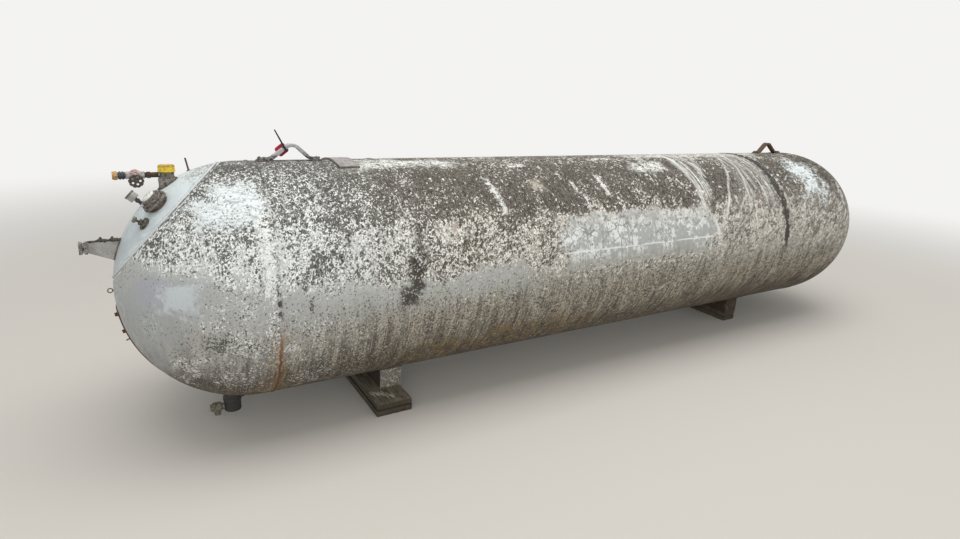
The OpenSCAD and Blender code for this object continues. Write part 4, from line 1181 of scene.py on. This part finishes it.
def valve_handwheel():
    mid, r = 0.076, 0.0275
    wheel = turned(
        [(0.0072, mid - 0.0045), (0.0078, mid - 0.0020), (0.0200, mid - 0.0018),
         (0.0212, mid - 0.0040),
         (0.0235, mid - 0.0045), (0.0262, mid - 0.0036), (r, mid - 0.0012), (r, mid + 0.0014),
         (0.0262, mid + 0.0036),
         (0.0235, mid + 0.0045), (0.0212, mid + 0.0038), (0.0200, mid + 0.0010),
         (0.0080, mid + 0.0012),
         (0.0072, mid + 0.0045), (0.0, mid + 0.0045), (0.0, mid - 0.0045), (0.0072, mid - 0.0045)],
         120)
    for v in wheel.verts:
        reach = math.hypot(v.co.x, v.co.y)
        if reach > 0.0225:
            angle = math.atan2(v.co.y, v.co.x)
            dip = max(0.0, math.cos((angle - math.radians(18)) * 10)) ** 1.5
            v.co.xy *= 1 - 0.085 * dip * (reach - 0.0215) / 0.006
    for v in wheel.verts:
        v.co.z = max(mid - 0.0045, min(mid + 0.0045, v.co.z))
    roughen(wheel, 0.0004, 0.004, 4.0)
    stem = turned([(0, 0.0290), (0.0044, 0.0290), (0.0044, 0.050)] + thread(0.0044, 0.052, 0.066,
        0.0022, 0.0005)
                  + [(0.0044, 0.0725), (0, 0.0725)], 28)
    nut = sided(0.0066, mid + 0.0046, mid + 0.0084, 6, 0.0006)
    cutters = []
    for i in range(5):
        hole = sided(0.0044, mid - 0.02, mid + 0.02, 24, 0.0001)
        a = math.radians(i * 72)
        put(hole, shift(0.0140 * math.cos(a), 0.0140 * math.sin(a), 0))
        cutters.append(hole)
    wheel = cut_holes(wheel, gather(*cutters))
    make_piece("valve_handwheel", put(gather(wheel, stem, nut), along_stem()), "handwheel_iron",
               body="handwheel",
               stands_for=["handwheel"], sharp=35)


# ---------------------------------------------------------------- gauges and bleeder
def dial_marks(radius, height, count=12, span=270):
    marks = []
    for i in range(count):
        a = math.radians(-span / 2 + span * i / (count - 1) + 90)
        mark = block((radius * 0.16, radius * 0.035, 0.0003), (radius * 0.80, 0, height), 0.00004)
        bmesh.ops.rotate(mark, verts=mark.verts[:], cent=(0, 0, 0),
                         matrix=Matrix.Rotation(a, 3, "Z"))
        marks.append(mark)
    hand = block((radius * 0.62, radius * 0.05, 0.0004), (radius * 0.24, 0, height + 0.0004),
                 0.0001)
    put(hand, turn(150, "Z"))
    boss = turned([(0, height), (radius * 0.10, height), (radius * 0.09, height + 0.001),
                   (0, height + 0.0013)], 20)
    return gather(hand, boss, *marks)


def float_gauge():
    place = on_head_beside(*FLOAT_SPOT)
    flange = turned(
        [(0, -0.016), (0.0355, -0.016), (0.0360, 0.0075), (0.0480, 0.0080), (0.0508, 0.0090),
         (0.0520, 0.0105),
         (0.0520, 0.0175), (0.0508, 0.0192), (0.0490, 0.0199), (0.0440, 0.0199), (0.0425, 0.0192),
         (0.0400, 0.0198),
         (0, 0.0198)], 72)
    refine(flange, 0.008, 2)
    make_piece("gauge_flange", put(roughen(flange, 0.0011, 0.007, 8.0), place), "grimy_steel",
               stands_for=["float_gauge_flange"])

    body = turned(
        [(0, 0.0200), (0.0392, 0.0200), (0.0400, 0.0210), (0.0400, 0.0285), (0.0385, 0.0302),
         (0.0336, 0.0305),
         (0.0330, 0.0330), (0.0330, 0.0375), (0.0336, 0.0385), (0.0336, 0.0415), (0.0322, 0.0430),
         (0.0275, 0.0430),
         (0.0268, 0.0424), (0, 0.0424)], 72)
    refine(body, 0.007, 2)
    ribs = []
    for i in range(8):
        rib = block((0.006, 0.005, 0.012), (0.0350, 0, 0.0350), 0.0012)
        put(rib, turn(i * 45 + 12, "Z"))
        ribs.append(rib)
    make_piece("gauge_housing", put(roughen(gather(body, *ribs), 0.0008, 0.006, 9.0), place),
               "grimy_steel",
               stands_for=["float_gauge_body"])

    dial = turned([(0, 0.0431), (0.0260, 0.0431), (0.0262, 0.0446), (0.0255, 0.0480),
                   (0.0238, 0.0505),
                   (0.0221, 0.0519), (0.0120, 0.0520), (0, 0.0520)], 64)
    make_piece("gauge_dial", put(dial, place), "dial_white", stands_for=["float_gauge_dial"])
    make_piece("gauge_dial_marks", put(dial_marks(0.020, 0.0521), place), "black_plastic")

    studs = []
    for i in range(8):
        stud = gather(
            turned([(0, 0.0200), (0.0062, 0.0200), (0.0062, 0.0212), (0, 0.0212)], 20),
            sided(0.0055, 0.0212, 0.0262, 6, 0.0006, 10 * i),
            turned([(0, 0.0262), (0.0028, 0.0262), (0.0028, 0.0296), (0.0020, 0.0302), (0, 0.0302)],
                   14))
        put(stud, shift(0.0460, 0, 0))
        put(stud, turn((i + 0.5) * 45, "Z"))
        studs.append(stud)
    make_piece("gauge_studs", put(roughen(gather(*studs), 0.0003, 0.003, 2.0), place),
               "rusty_steel",
               stands_for=["float_gauge_bolts"], look="grimy_steel")

    foot = []
    out = (place.to_3x3() @ Vector((0, 0, 1))).normalized()
    for i in range(100):
        a = i / 100 * 2 * math.pi
        ray = place @ Vector((0.0375 * math.cos(a), 0.0375 * math.sin(a), 0))
        d = ray - on_tank(0, 0, 0)
        b = d.dot(out)
        reach = -b + math.sqrt(b * b - d.dot(d) + TANK_R ** 2)
        foot.append(ray + out * (reach + 0.0012))
    make_piece("gauge_weld", bead_line(foot, 0.0045, True, 5.0), "grimy_steel", look="weld_crust")


def pressure_gauge():
    place = on_head(*GAUGE_SPOT, TANK_R)
    stem = turned([(0, -0.003), (0.0105, -0.003), (0.0105, 0.0015),
                   (0.0080, 0.0040)] + thread(0.0080, 0.005, 0.013)
                  + [(0.0075, 0.0140), (0.0075, 0.0290), (0, 0.0290)], 32)
    nut = sided(0.0108, 0.0145, 0.0235, 6, 0.0010)
    make_piece("gauge_stem", put(roughen(gather(stem, nut), 0.0006, 0.004, 3.0), place),
               "dark_steel",
               stands_for=["pressure_gauge_stem"])
    low = 0.029
    case = turned([(0, low), (0.0175, low), (0.0200, low + 0.0015), (0.0210, low + 0.0040),
                   (0.0210, low + 0.0245),
                   (0.0218, low + 0.0250), (0, low + 0.0250)], 60)
    make_piece("gauge_case_body", put(case, place), "gauge_case",
               stands_for=["pressure_gauge_case"])
    ring = turned([(0.0200, low + 0.0250), (0.0222, low + 0.0252), (0.0225, low + 0.0265),
                   (0.0225, low + 0.0300),
                   (0.0216, low + 0.0320), (0.0198, low + 0.0318), (0.0190, low + 0.0300),
                   (0.0190, low + 0.0285),
                   (0.0200, low + 0.0250)], 60)
    face = turned([(0, low + 0.0250), (0.0192, low + 0.0250), (0.0192, low + 0.0282),
                   (0, low + 0.0282)], 48)
    make_piece("gauge_face", put(face, place), "dial_white")
    # the bezel ring's darker coat is painted shade
    make_piece("gauge_rim", put(ring, place), "gauge_case", look="gauge_rim_painted_shade")
    make_piece("gauge_face_marks", put(dial_marks(0.0185, low + 0.0284), place), "black_plastic")


def bleeder():
    place = on_head_beside(*BLEEDER_SPOT)
    body = turned(
        [(0, -0.012), (0.0245, -0.012), (0.0250, 0.0040), (0.0242, 0.0068), (0.0215, 0.0080),
         (0.0112, 0.0085),
         (0.0112, 0.0110), (0, 0.0110)], 52)
    refine(body, 0.005, 2)
    nut = sided(0.0140, 0.0110, 0.0200, 6, 0.0012)
    pin = turned([(0, 0.0200), (0.0070, 0.0200), (0.0062, 0.0215)] + thread(0.0048, 0.0222, 0.0306,
        0.0016, 0.0006)
                 + [(0, 0.0306)], 28)
    make_piece("bleeder_body", put(roughen(gather(body, nut, pin), 0.0011, 0.005, 6.0), place),
               "dark_steel",
               stands_for=["bleeder_valve"], look="moss_crust")
    knob = turned([(0, 0.0310), (0.0095, 0.0310), (0.0118, 0.0322), (0.0120, 0.0335),
                   (0.0120, 0.0405),
                   (0.0112, 0.0425), (0.0085, 0.0430), (0, 0.0430)], 72)
    for v in knob.verts:
        reach = math.hypot(v.co.x, v.co.y)
        if reach > 0.0105:
            v.co.xy *= 1 - 0.10 * max(0.0, math.cos(math.atan2(v.co.y, v.co.x) * 6)) ** 2
    make_piece("bleeder_grip", put(roughen(knob, 0.0005, 0.004, 2.0), place), "rusty_steel",
               stands_for=["bleeder_knob"], look="grimy_steel")
    spots = [place @ Vector((0.024 * math.cos(a), 0.024 * math.sin(a),
                             -0.002 - 0.004 * math.sin(a)))
             for a in (0.4, 1.5, 2.6, 3.3, 4.1, 5.2)]
    make_piece("bleeder_moss", lumps(spots, 0.0065, 3), "dark_steel", look="moss_crust")


def threaded_stud():
    foot = on_head(*STUD_SPOT, TANK_R)
    place = foot @ turn(13, "Y")
    rod = turned([(0, -0.006), (0.0040, -0.006), (0.0040, 0.010)] + thread(0.0040, 0.012, 0.0525,
        0.0017, 0.0006)
                 + [(0.0034, 0.0540), (0, 0.0540)], 24)
    make_piece("head_threaded_stud", put(roughen(rod, 0.0004, 0.003, 1.0), place), "rusty_steel",
               stands_for=["head_stud"])
    root = turned([(0, -0.002), (0.0085, -0.0018), (0.0078, 0.0020), (0.0050, 0.0048), (0, 0.0050)],
                  28)
    make_piece("stud_weld", put(roughen(root, 0.0014, 0.004, 3.0), foot),
               "rusty_steel", look="weld_crust")


# ---------------------------------------------------------------- bracket, plate, plugs
def bracket_fittings():
    top = TANK_R * math.sin(math.radians(BRACKET_UP))
    reach, end = TANK_R + 0.097, TANK_R + 0.067
    spots = []
    for i in range(17):
        share = i / 16
        x = -0.475 - share * (end - 0.480)
        y = -0.010 + 0.022 * noise.noise(Vector((i * 1.9, 4, 0)))
        spots.append(on_tank(x, y, top + 0.0025 + 0.0025 * math.sin(i * 2.9)))
    for i in range(9):
        spots.append(on_tank(-0.478 - 0.009 * i, 0.012 * math.sin(i * 2.4), top + 0.003))
    make_piece("bracket_moss", lumps(spots, 0.0105, 11), "bracket_paint", look="moss_crust")
    root = [on_tank(-skin(0.0145, z) - 0.001, -0.0150, z)
            for z in [top - 0.078 + i * 0.0026 for i in range(31)]]
    ledge_z = top + 0.001
    crown = [on_tank(-skin(y, ledge_z) - 0.001, y, ledge_z)
             for y in [-0.014 + i * 0.0017 for i in range(21)]]
    make_piece("bracket_weld", gather(bead_line(root, 0.0042, False, 1.0),
                                      bead_line(crown, 0.0045, False, 3.0)),
               "bracket_paint", look="weld_crust")
    bolts = []
    for share in (0.28, 0.62):
        x = -TANK_R * 0.9 - share * (end - TANK_R * 0.9)
        place = stand(on_tank(x, 0.003, top))
        head = gather(
            turned([(0, 0.0001), (0.0118, 0.0001), (0.0118, 0.0018), (0, 0.0018)], 28),
            sided(0.0100, 0.0018, 0.0092, 6, 0.0012, 20 * share * 10),
            turned([(0, 0.0090), (0.0050, 0.0090), (0.0050, 0.0150), (0.0040, 0.0160), (0, 0.0160)],
                   20))
        bolts.append(put(roughen(refine(head, 0.006, 1), 0.0008, 0.005, share * 9), place))
    make_piece("bracket_bolt_set", gather(*bolts), "rusty_steel", stands_for=["bracket_bolts"],
               look="weld_crust")

    middle = on_tank(-reach, -0.010, top - 0.021)
    plates = []
    for i in (0, 1):
        plate = block((0.012, 0.044, 0.044), (0.006 + i * 0.018, 0, 0), 0.0016)
        plates.append(roughen(refine(plate, 0.008, 2), 0.0007, 0.008, i * 3.0))
    waist = put(turned([(0, 0.0005), (0.0078, 0.0005), (0.0078, 0.0295), (0, 0.0295)], 28),
                turn(90, "Y"))
    corners = []
    for y in (-0.0145, 0.0145):
        for z in (-0.0145, 0.0145):
            bar = put(turned([(0, 0.0100), (0.0026, 0.0100), (0.0026, 0.0200), (0, 0.0200)], 16),
                      turn(90, "Y"))
            put(bar, shift(0, y, z))
            corners.append(bar)
    make_piece("clamp_plates", put(gather(*plates, waist, *corners), stand(middle)),
               "bracket_paint",
               stands_for=["bracket_clamp"], look="clamp_paint")


def head_plugs():
    parts = []
    for share in (0.07, 0.31):
        place = on_head(PLATE_TOP + PLATE_ARC * share, PLATE_SIDE, TANK_R + PLATE_THICK)
        plug = gather(turned([(0, 0), (0.0105, 0), (0.0105, 0.0020), (0.0085, 0.0028), (0, 0.0028)],
                             28),
                      sided(0.0088, 0.0028, 0.0105, 6, 0.0010, 12))
        parts.append(put(roughen(plug, 0.0005, 0.004, share * 7), place))
    place = on_head(PLATE_TOP + PLATE_ARC * 0.43, PLATE_SIDE, TANK_R + PLATE_THICK)
    parts.append(put(turned([(0, 0), (0.0045, 0), (0.0027, 0.0025), (0.0025, 0.0150),
                             (0.0020, 0.0155), (0, 0.0155)], 18), place))
    make_piece("head_plug_set", gather(*parts), "rusty_steel", stands_for=["end_plugs"])


# ---------------------------------------------------------------- drain
def drain():
    foot = on_tank(DRAIN_X, DRAIN_Y, -(TANK_R + DRAIN_DROP))
    top = TANK_R + DRAIN_DROP - skin(DRAIN_X, DRAIN_Y)
    r = DRAIN_R
    cup = turned([(0, 0), (r - 0.002, 0), (r, 0.0018), (r, 0.046), (r + 0.0015, 0.0485),
                  (0.0396, 0.0500),
                  (0.0396, 0.0660), (r + 0.0015, 0.0680), (r, 0.0700), (r, top + 0.030),
                  (0, top + 0.030)], 60)
    refine(cup, 0.010, 2)
    tab = block((0.020, 0.014, 0.016), (r + 0.006, 0.004, 0.058), 0.003)
    make_piece("drain_cup", put(gather(roughen(cup, 0.0007, 0.010, 2.0), tab), stand(foot)),
               "dark_steel",
               stands_for=["drain_coupling"], look="drain_black_and_shade")
    ring = []
    for i in range(100):
        a = i / 100 * 2 * math.pi
        x, y = DRAIN_X + (r + 0.001) * math.cos(a), DRAIN_Y + (r + 0.001) * math.sin(a)
        ring.append(on_tank(x, y, -skin(x, y) - 0.001))
    make_piece("drain_weld", bead_line(ring, 0.005, True, 7.0), "dark_steel", look="weld_crust")

    side = stand(foot + Vector((0, 0, 0.023)), turn(-90, "Y"))
    body = turned([(0, r + 0.0005), (0.0155, r + 0.0005), (0.0160, r + 0.004), (0.0160, r + 0.010),
                   (0.0205, r + 0.0125), (0.0230, r + 0.017), (0.0230, r + 0.044),
                   (0.0212, r + 0.0485),
                   (0.0165, r + 0.050), (0.0160, r + 0.0575), (0.0150, r + 0.058), (0, r + 0.058)],
                  52)
    refine(body, 0.008, 2)
    spout = turned([(0, 0), (0.0128, 0), (0.0140, 0.004), (0.0140, 0.034), (0.0132, 0.0375),
                    (0.0105, 0.0378),
                    (0.0100, 0.0360), (0, 0.0360)], 40)
    down = stand(foot + Vector((-(r + 0.029), 0, 0.023)), turn(180, "Y"))
    grip = sided(0.0095, r + 0.0575, r + 0.0578, 6, 0.0001)
    make_piece("drain_valve_body", gather(put(roughen(gather(body, grip), 0.0008, 0.007, 4.0),
                                              side),
               put(roughen(spout, 0.0006, 0.005, 5.0), down)), "valve_iron",
               stands_for=["drain_valve"],
               look="drain_iron")


# ---------------------------------------------------------------- lifting lugs
def bent_bar(width, thick, run, foot, run_in, foot_in, rise, flat, bend):
    """A flat bar bent into a lug by pushing and spinning its end, from the outer foot's end."""
    bm = bmesh.new()
    bmesh.ops.create_grid(bm, x_segments=1, y_segments=1, size=0.5)
    bmesh.ops.scale(bm, verts=bm.verts[:], vec=(thick, width, 1))
    put(bm, turn(90, "Y"))
    start = -(flat / 2 + run + foot)
    put(bm, shift(start, 0, thick / 2))
    end = bm.edges[:]
    first_face = bm.faces[:]
    bmesh.ops.delete(bm, geom=first_face, context="FACES_ONLY")
    here = Vector((start, 0, thick / 2))
    heading = 0.0

    def push(length):
        nonlocal end, here
        step = Vector((math.cos(heading), 0, math.sin(heading))) * length
        cuts = max(1, int(length / 0.008))
        for _ in range(cuts):
            made = bmesh.ops.extrude_edge_only(bm, edges=end)["geom"]
            bmesh.ops.translate(bm, verts=[g for g in made if isinstance(g, bmesh.types.BMVert)],
                                vec=step / cuts)
            end = [g for g in made if isinstance(g, bmesh.types.BMEdge)]
        here = here + step

    def swing(angle):
        nonlocal end, here, heading
        side = 1 if angle > 0 else -1
        left = Vector((-math.sin(heading), 0, math.cos(heading)))
        cent = here + left * bend * side
        made = bmesh.ops.spin(bm, geom=end, cent=cent, axis=(0, -1, 0), angle=angle,
                              steps=9)["geom_last"]
        end = [g for g in made if isinstance(g, bmesh.types.BMEdge)]
        here = cent + Matrix.Rotation(-angle, 3, "Y") @ (here - cent)
        heading += angle

    up, down = math.atan2(rise, run), math.atan2(rise, run_in)
    cut_up, cut_down = bend * math.tan(up / 2), bend * math.tan(down / 2)
    push(foot - cut_up)
    swing(up)
    push(math.hypot(run, rise) - 2 * cut_up)
    swing(-up)
    push(flat - cut_up - cut_down)
    swing(-down)
    push(math.hypot(run_in, rise) - 2 * cut_down)
    swing(down)
    push(foot_in - cut_down)
    bmesh.ops.remove_doubles(bm, verts=bm.verts[:], dist=WELD_GAP)
    bmesh.ops.holes_fill(bm, edges=[e for e in bm.edges if e.is_boundary])
    bmesh.ops.recalc_face_normals(bm, faces=bm.faces[:])
    bevel_sharp(bm, 0.0018, 50)
    return bm


def lifting_lugs():
    at = {"near": (LUG_IN, 1), "far": (TANK_LEN - LUG_IN, -1)}
    for name, (x, way) in at.items():
        bar = bent_bar(width=0.032, thick=0.015, run=LUG_RUN, foot=0.052, run_in=0.064,
                       foot_in=0.040, rise=LUG_RISE, flat=LUG_FLAT, bend=0.036)
        roughen(bar, 0.0004 if way > 0 else 0.0010, 0.012, 3.0 * way)
        place = stand(on_tank(x, 0, TANK_R + 0.0003))
        if way < 0:
            place = place @ turn(180, "Z")
        slot = "lug_paint" if name == "near" else "rusty_steel"
        make_piece("lug_bar_" + name, put(bar, place), slot, stands_for=["lifting_lug_" + name])
        beads = []
        drop = TANK_R - skin(0.018)
        for start, stop in ((-0.148, -0.100), (0.084, 0.121)):
            for y in (-0.0175, 0.0175):
                points = path((start, y, 0.0015 - drop), (stop, y, 0.0015 - drop))
                beads.append(bead_line(points, 0.0048, False, start * 50 + y * 30, lump=0.3))
            ends = start - 0.0005 if start < 0 else stop + 0.0005
            beads.append(bead_line(path((ends, -0.016, 0.001), (ends, 0.016, 0.001)), 0.0050, False,
                                   start * 9, lump=0.3))
        make_piece("lug_welds_" + name, put(gather(*beads), place), slot, look="weld_crust")
    spots = [on_tank(LUG_IN + x, y, TANK_R + z) for x, y, z in (
        (-0.146, -0.010, 0.016), (-0.138, 0.006, 0.017), (-0.128, -0.012, 0.015),
            (-0.120, 0.000, 0.016),
        (-0.110, -0.016, 0.006), (-0.097, -0.014, 0.012), (0.118, -0.010, 0.015),
            (0.110, 0.004, 0.016),
        (0.126, -0.016, 0.003))]
    make_piece("lug_foot_moss", lumps(spots, 0.0068, 5), "lug_paint", look="moss_crust")


def top_pad_welds():
    edge = math.degrees(PAD_HALF / TANK_R)
    (x_low, x_high), lift = PAD_X, 0.002
    corners = [on_shell(x_low - 0.001, 90 - edge + 2 * edge * i / 90, lift) for i in range(91)]
    far = [on_shell(x_high + 0.001, 90 + edge - 2 * edge * i / 90, lift) for i in range(91)]
    rows = [bead_line(corners, 0.0036, False, 1.0), bead_line(far, 0.0036, False, 4.0)]
    for y in (-0.1405, 0.1405):
        z = skin(y) + 0.002
        rows.append(bead_line(path(on_tank(x_low, y, z), on_tank(x_high, y, z)), 0.0036, False,
                              y * 30))
    make_piece("pad_welds", gather(*rows), "pad_paint", look="weld_crust")


def saddle_welds():
    rows = {"near": SADDLE_X, "far": (TANK_LEN - SADDLE_X[1], TANK_LEN - SADDLE_X[0])}
    for name, faces in rows.items():
        beads = []
        for x in faces:
            out = -0.0012 if x == faces[0] else 0.0012
            points = []
            for i in range(141):
                y = -0.208 + 0.416 * i / 140
                points.append(on_tank(x + out, y, -skin(y) - 0.0012))
            beads.append(bead_line(points, 0.0050, False, x * 7))
        z = -skin(0.21) - 0.001
        for y in (-0.2115, 0.2115):
            beads.append(bead_line(path(on_tank(faces[0], y, z), on_tank(faces[1], y, z)), 0.0048,
                                   False, y * 20))
        slot = "saddle_paint" if name == "near" else "rusty_steel"
        make_piece("saddle_welds_" + name, gather(*beads), slot,
                   look="weld_crust" if name == "near" else "shaded_steel")


# ---------------------------------------------------------------- boards
def packing_boards():
    shift = 0.0
    for name in ("board_near_lower", "board_near_upper", "board_far_lower", "board_far_upper"):
        low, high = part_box(name)
        size, middle = high - low, (low + high) / 2
        bm = bmesh.new()
        bmesh.ops.create_cube(bm, size=1.0)
        bmesh.ops.scale(bm, verts=bm.verts[:], vec=size)
        bevel_sharp(bm, 0.0022)
        refine(bm, 0.014, 6)
        bmesh.ops.translate(bm, verts=bm.verts[:], vec=middle)
        shift += 3.7
        for v in bm.verts:
            end = abs(v.co.y - middle.y) / (size.y / 2)
            side = abs(v.co.x - middle.x) / (size.x / 2)
            fray = noise.noise(Vector((v.co.x * 60 + shift, v.co.z * 30, shift)))
            if end > 0.985:
                v.co.y -= math.copysign(0.0045 * abs(fray), v.co.y - middle.y)
            if side > 0.97:
                wane = noise.noise(Vector((shift, v.co.y * 14, v.co.z * 20)))
                v.co.x -= math.copysign(0.0025 * abs(wane), v.co.x - middle.x)
            if end > 0.62 and v.co.z > high.z - 0.002:
                v.co.z -= 0.0022 * abs(noise.noise(Vector((v.co.x * 40, v.co.y * 5, shift))))
        look = board_wood("old_wood_" + name[6:], shift, size.y / 2)
        make_piece("packing_" + name, bm, "old_wood", stands_for=[name], look=look, sharp=40)
    chips = []
    low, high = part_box("board_near_upper")
    for i in range(14):
        wobble = [noise.noise(Vector((i * 1.7, k, 5))) for k in (1, 4, 7, 9)]
        x = low.x + 0.010 + 0.0072 * i + 0.010 * wobble[0]
        y = -0.245 - 0.004 * i + 0.040 * wobble[1]
        chip = block((0.0032 + 0.001 * wobble[2], 0.034 + 0.022 * wobble[3], 0.0018), (0, 0, 0),
                     0.0004)
        tilt = turn(10 + 34 * wobble[2], "Z") @ turn(3, "X")
        chips.append(put(chip, stand(Vector((x, y, high.z + 0.0004)), tilt)))
    pale = plain_plastic("pale_splinters", (0.66, 0.61, 0.52), 0.85, (0.36, 0.31, 0.22), 200.0)
    make_piece("board_splinters", gather(*chips), "old_wood", look=pale)


# ---------------------------------------------------------------- tag and tie
def tag_and_tie():
    slope = math.atan2(LUG_RISE, LUG_RUN)
    leg = math.hypot(LUG_RISE, LUG_RUN)
    foot = on_tank(LUG_IN - LUG_FLAT / 2 - LUG_RUN, 0, TANK_R + 0.0003 + 0.0075)
    along_leg = stand(foot, Matrix.Rotation(-slope, 4, "Y"), shift(0.62 * leg, 0, 0))
    tag = bmesh.new()
    bmesh.ops.create_cube(tag, size=1.0)
    bmesh.ops.scale(tag, verts=tag.verts[:], vec=(0.050, 0.0016, 0.046))
    upright = [e for e in tag.edges if abs(e.verts[0].co.y - e.verts[1].co.y) > 0.001]
    bmesh.ops.bevel(tag, geom=upright, offset=0.010, offset_type="OFFSET", segments=4, profile=0.5,
                    affect="EDGES", material=-1)
    bmesh.ops.subdivide_edges(tag, edges=tag.edges[:], cuts=2, use_grid_fill=True)
    put(tag, shift(0, 0.0168, 0))
    for v in tag.verts:
        v.co.y += 0.0022 * (v.co.z / 0.023) ** 2 + 0.0012 * (v.co.x / 0.025) ** 2
    make_piece("red_hang_tag", put(tag, along_leg @ shift(0.006, 0, -0.003)), "red_plastic",
               stands_for=["red_tag"])

    strap = along_leg @ shift(0.014, 0, 0)
    loop = []
    for size, centre in (((0.0045, 0.0018, 0.0192), (0, -0.0172, 0)),
                         ((0.0045, 0.0018, 0.0192), (0, 0.0188, 0)),
                         ((0.0045, 0.0374, 0.0018), (0, 0.0008, 0.0087)),
                         ((0.0045, 0.0374, 0.0018), (0, 0.0008, -0.0087))):
        loop.append(block(size, centre, 0.0003))
    lock = block((0.0068, 0.0050, 0.0080), (0, -0.0206, -0.0095), 0.0008)
    tail = block((0.0084, 0.0022, 0.103), (0, 0, 0.0515), 0.0005)
    for v in tail.verts:
        share = v.co.z / 0.103
        v.co.x *= 1 - 0.35 * max(0.0, share - 0.85) / 0.15
    put(tail, shift(0, -0.0199 + 0.0008, -0.0115) @ turn(10, "Y"))
    make_piece("black_cable_tie", put(gather(*loop, lock, tail), strap), "black_plastic",
               stands_for=["cable_tie"])


fill_fittings()
outlet_line()
valve_handwheel()
float_gauge()
pressure_gauge()
bleeder()
threaded_stud()
bracket_fittings()
head_plugs()
drain()
lifting_lugs()
top_pad_welds()
saddle_welds()
packing_boards()
tag_and_tie()


# ---------------------------------------------------------------- floor and light
def seen_rays(sheet):
    """1 for the rays that see a thing itself: the camera's, and those of mirrors and glass."""
    rays = sheet.add("ShaderNodeLightPath").outputs
    return sheet.most(*(rays["Is %s Ray" % kind] for kind in ("Camera", "Glossy", "Transmission")))


def studio():
    floor_bm = bmesh.new()
    bmesh.ops.create_circle(floor_bm, cap_ends=True, segments=96, radius=40)
    mesh = bpy.data.meshes.new("floor")
    floor_bm.to_mesh(mesh)
    floor_bm.free()
    floor = show("floor", mesh)
    material, sheet, place, shader = start_material("pale_floor")
    shader.inputs["Base Color"].default_value = (0.64, 0.60, 0.545, 1)
    shader.inputs["Roughness"].default_value = 0.9
    mesh.materials.append(material)
    # far from the part the floor passes into the plain backdrop for the camera
    away = sheet.vector_maths("LENGTH", place, give="Value")
    seen = seen_rays(sheet)
    share = sheet.product(sheet.ease(away, 3.2, 9.0), seen)
    backdrop = sheet.add("ShaderNodeEmission", {"Color": (*BACKDROP, 1), "Strength": 1.0})
    both = sheet.add("ShaderNodeMixShader", {0: share, 1: shader.outputs[0],
                                             2: backdrop.outputs[0]})
    out = [n for n in sheet.tree.nodes if n.type == "OUTPUT_MATERIAL"][0]
    sheet.tree.links.new(both.outputs[0], out.inputs["Surface"])

    world = bpy.data.worlds.new("soft_sky")
    bpy.context.scene.world = world
    world.use_nodes = True
    tree = world.node_tree
    tree.nodes.clear()
    sheet = Sheet(tree)
    seen = seen_rays(sheet)
    sky = sheet.add("ShaderNodeBackground", {"Color": (0.94, 0.975, 1.0, 1), "Strength": 0.60})
    shown = sheet.add("ShaderNodeBackground", {"Color": (*BACKDROP, 1), "Strength": 1.0})
    both = sheet.add("ShaderNodeMixShader", {0: seen, 1: sky.outputs[0], 2: shown.outputs[0]})
    out = sheet.add("ShaderNodeOutputWorld")
    tree.links.new(both.outputs[0], out.inputs[0])

    def lamp(name, point, target, size, power, colour):
        data = bpy.data.lights.new(name, "AREA")
        data.shape = "RECTANGLE"
        data.size, data.size_y = size
        data.energy = power
        data.color = colour
        light = show(name, data)
        aim = (Vector(target) - Vector(point)).to_track_quat("-Z", "Y")
        light.matrix_world = Matrix.Translation(point) @ aim.to_matrix().to_4x4()

    lamp("overhead", (0.0, -0.6, 6.5), (0.0, 0.0, 0.6), (9.0, 4.0), 250, (1.0, 0.985, 0.96))
    lamp("near_fill", (-3.2, -6.5, 3.6), (-0.2, 0.0, 0.5), (6.0, 3.0), 105, (0.97, 0.985, 1.0))
    bpy.context.scene.view_settings.view_transform = "Standard"


studio()
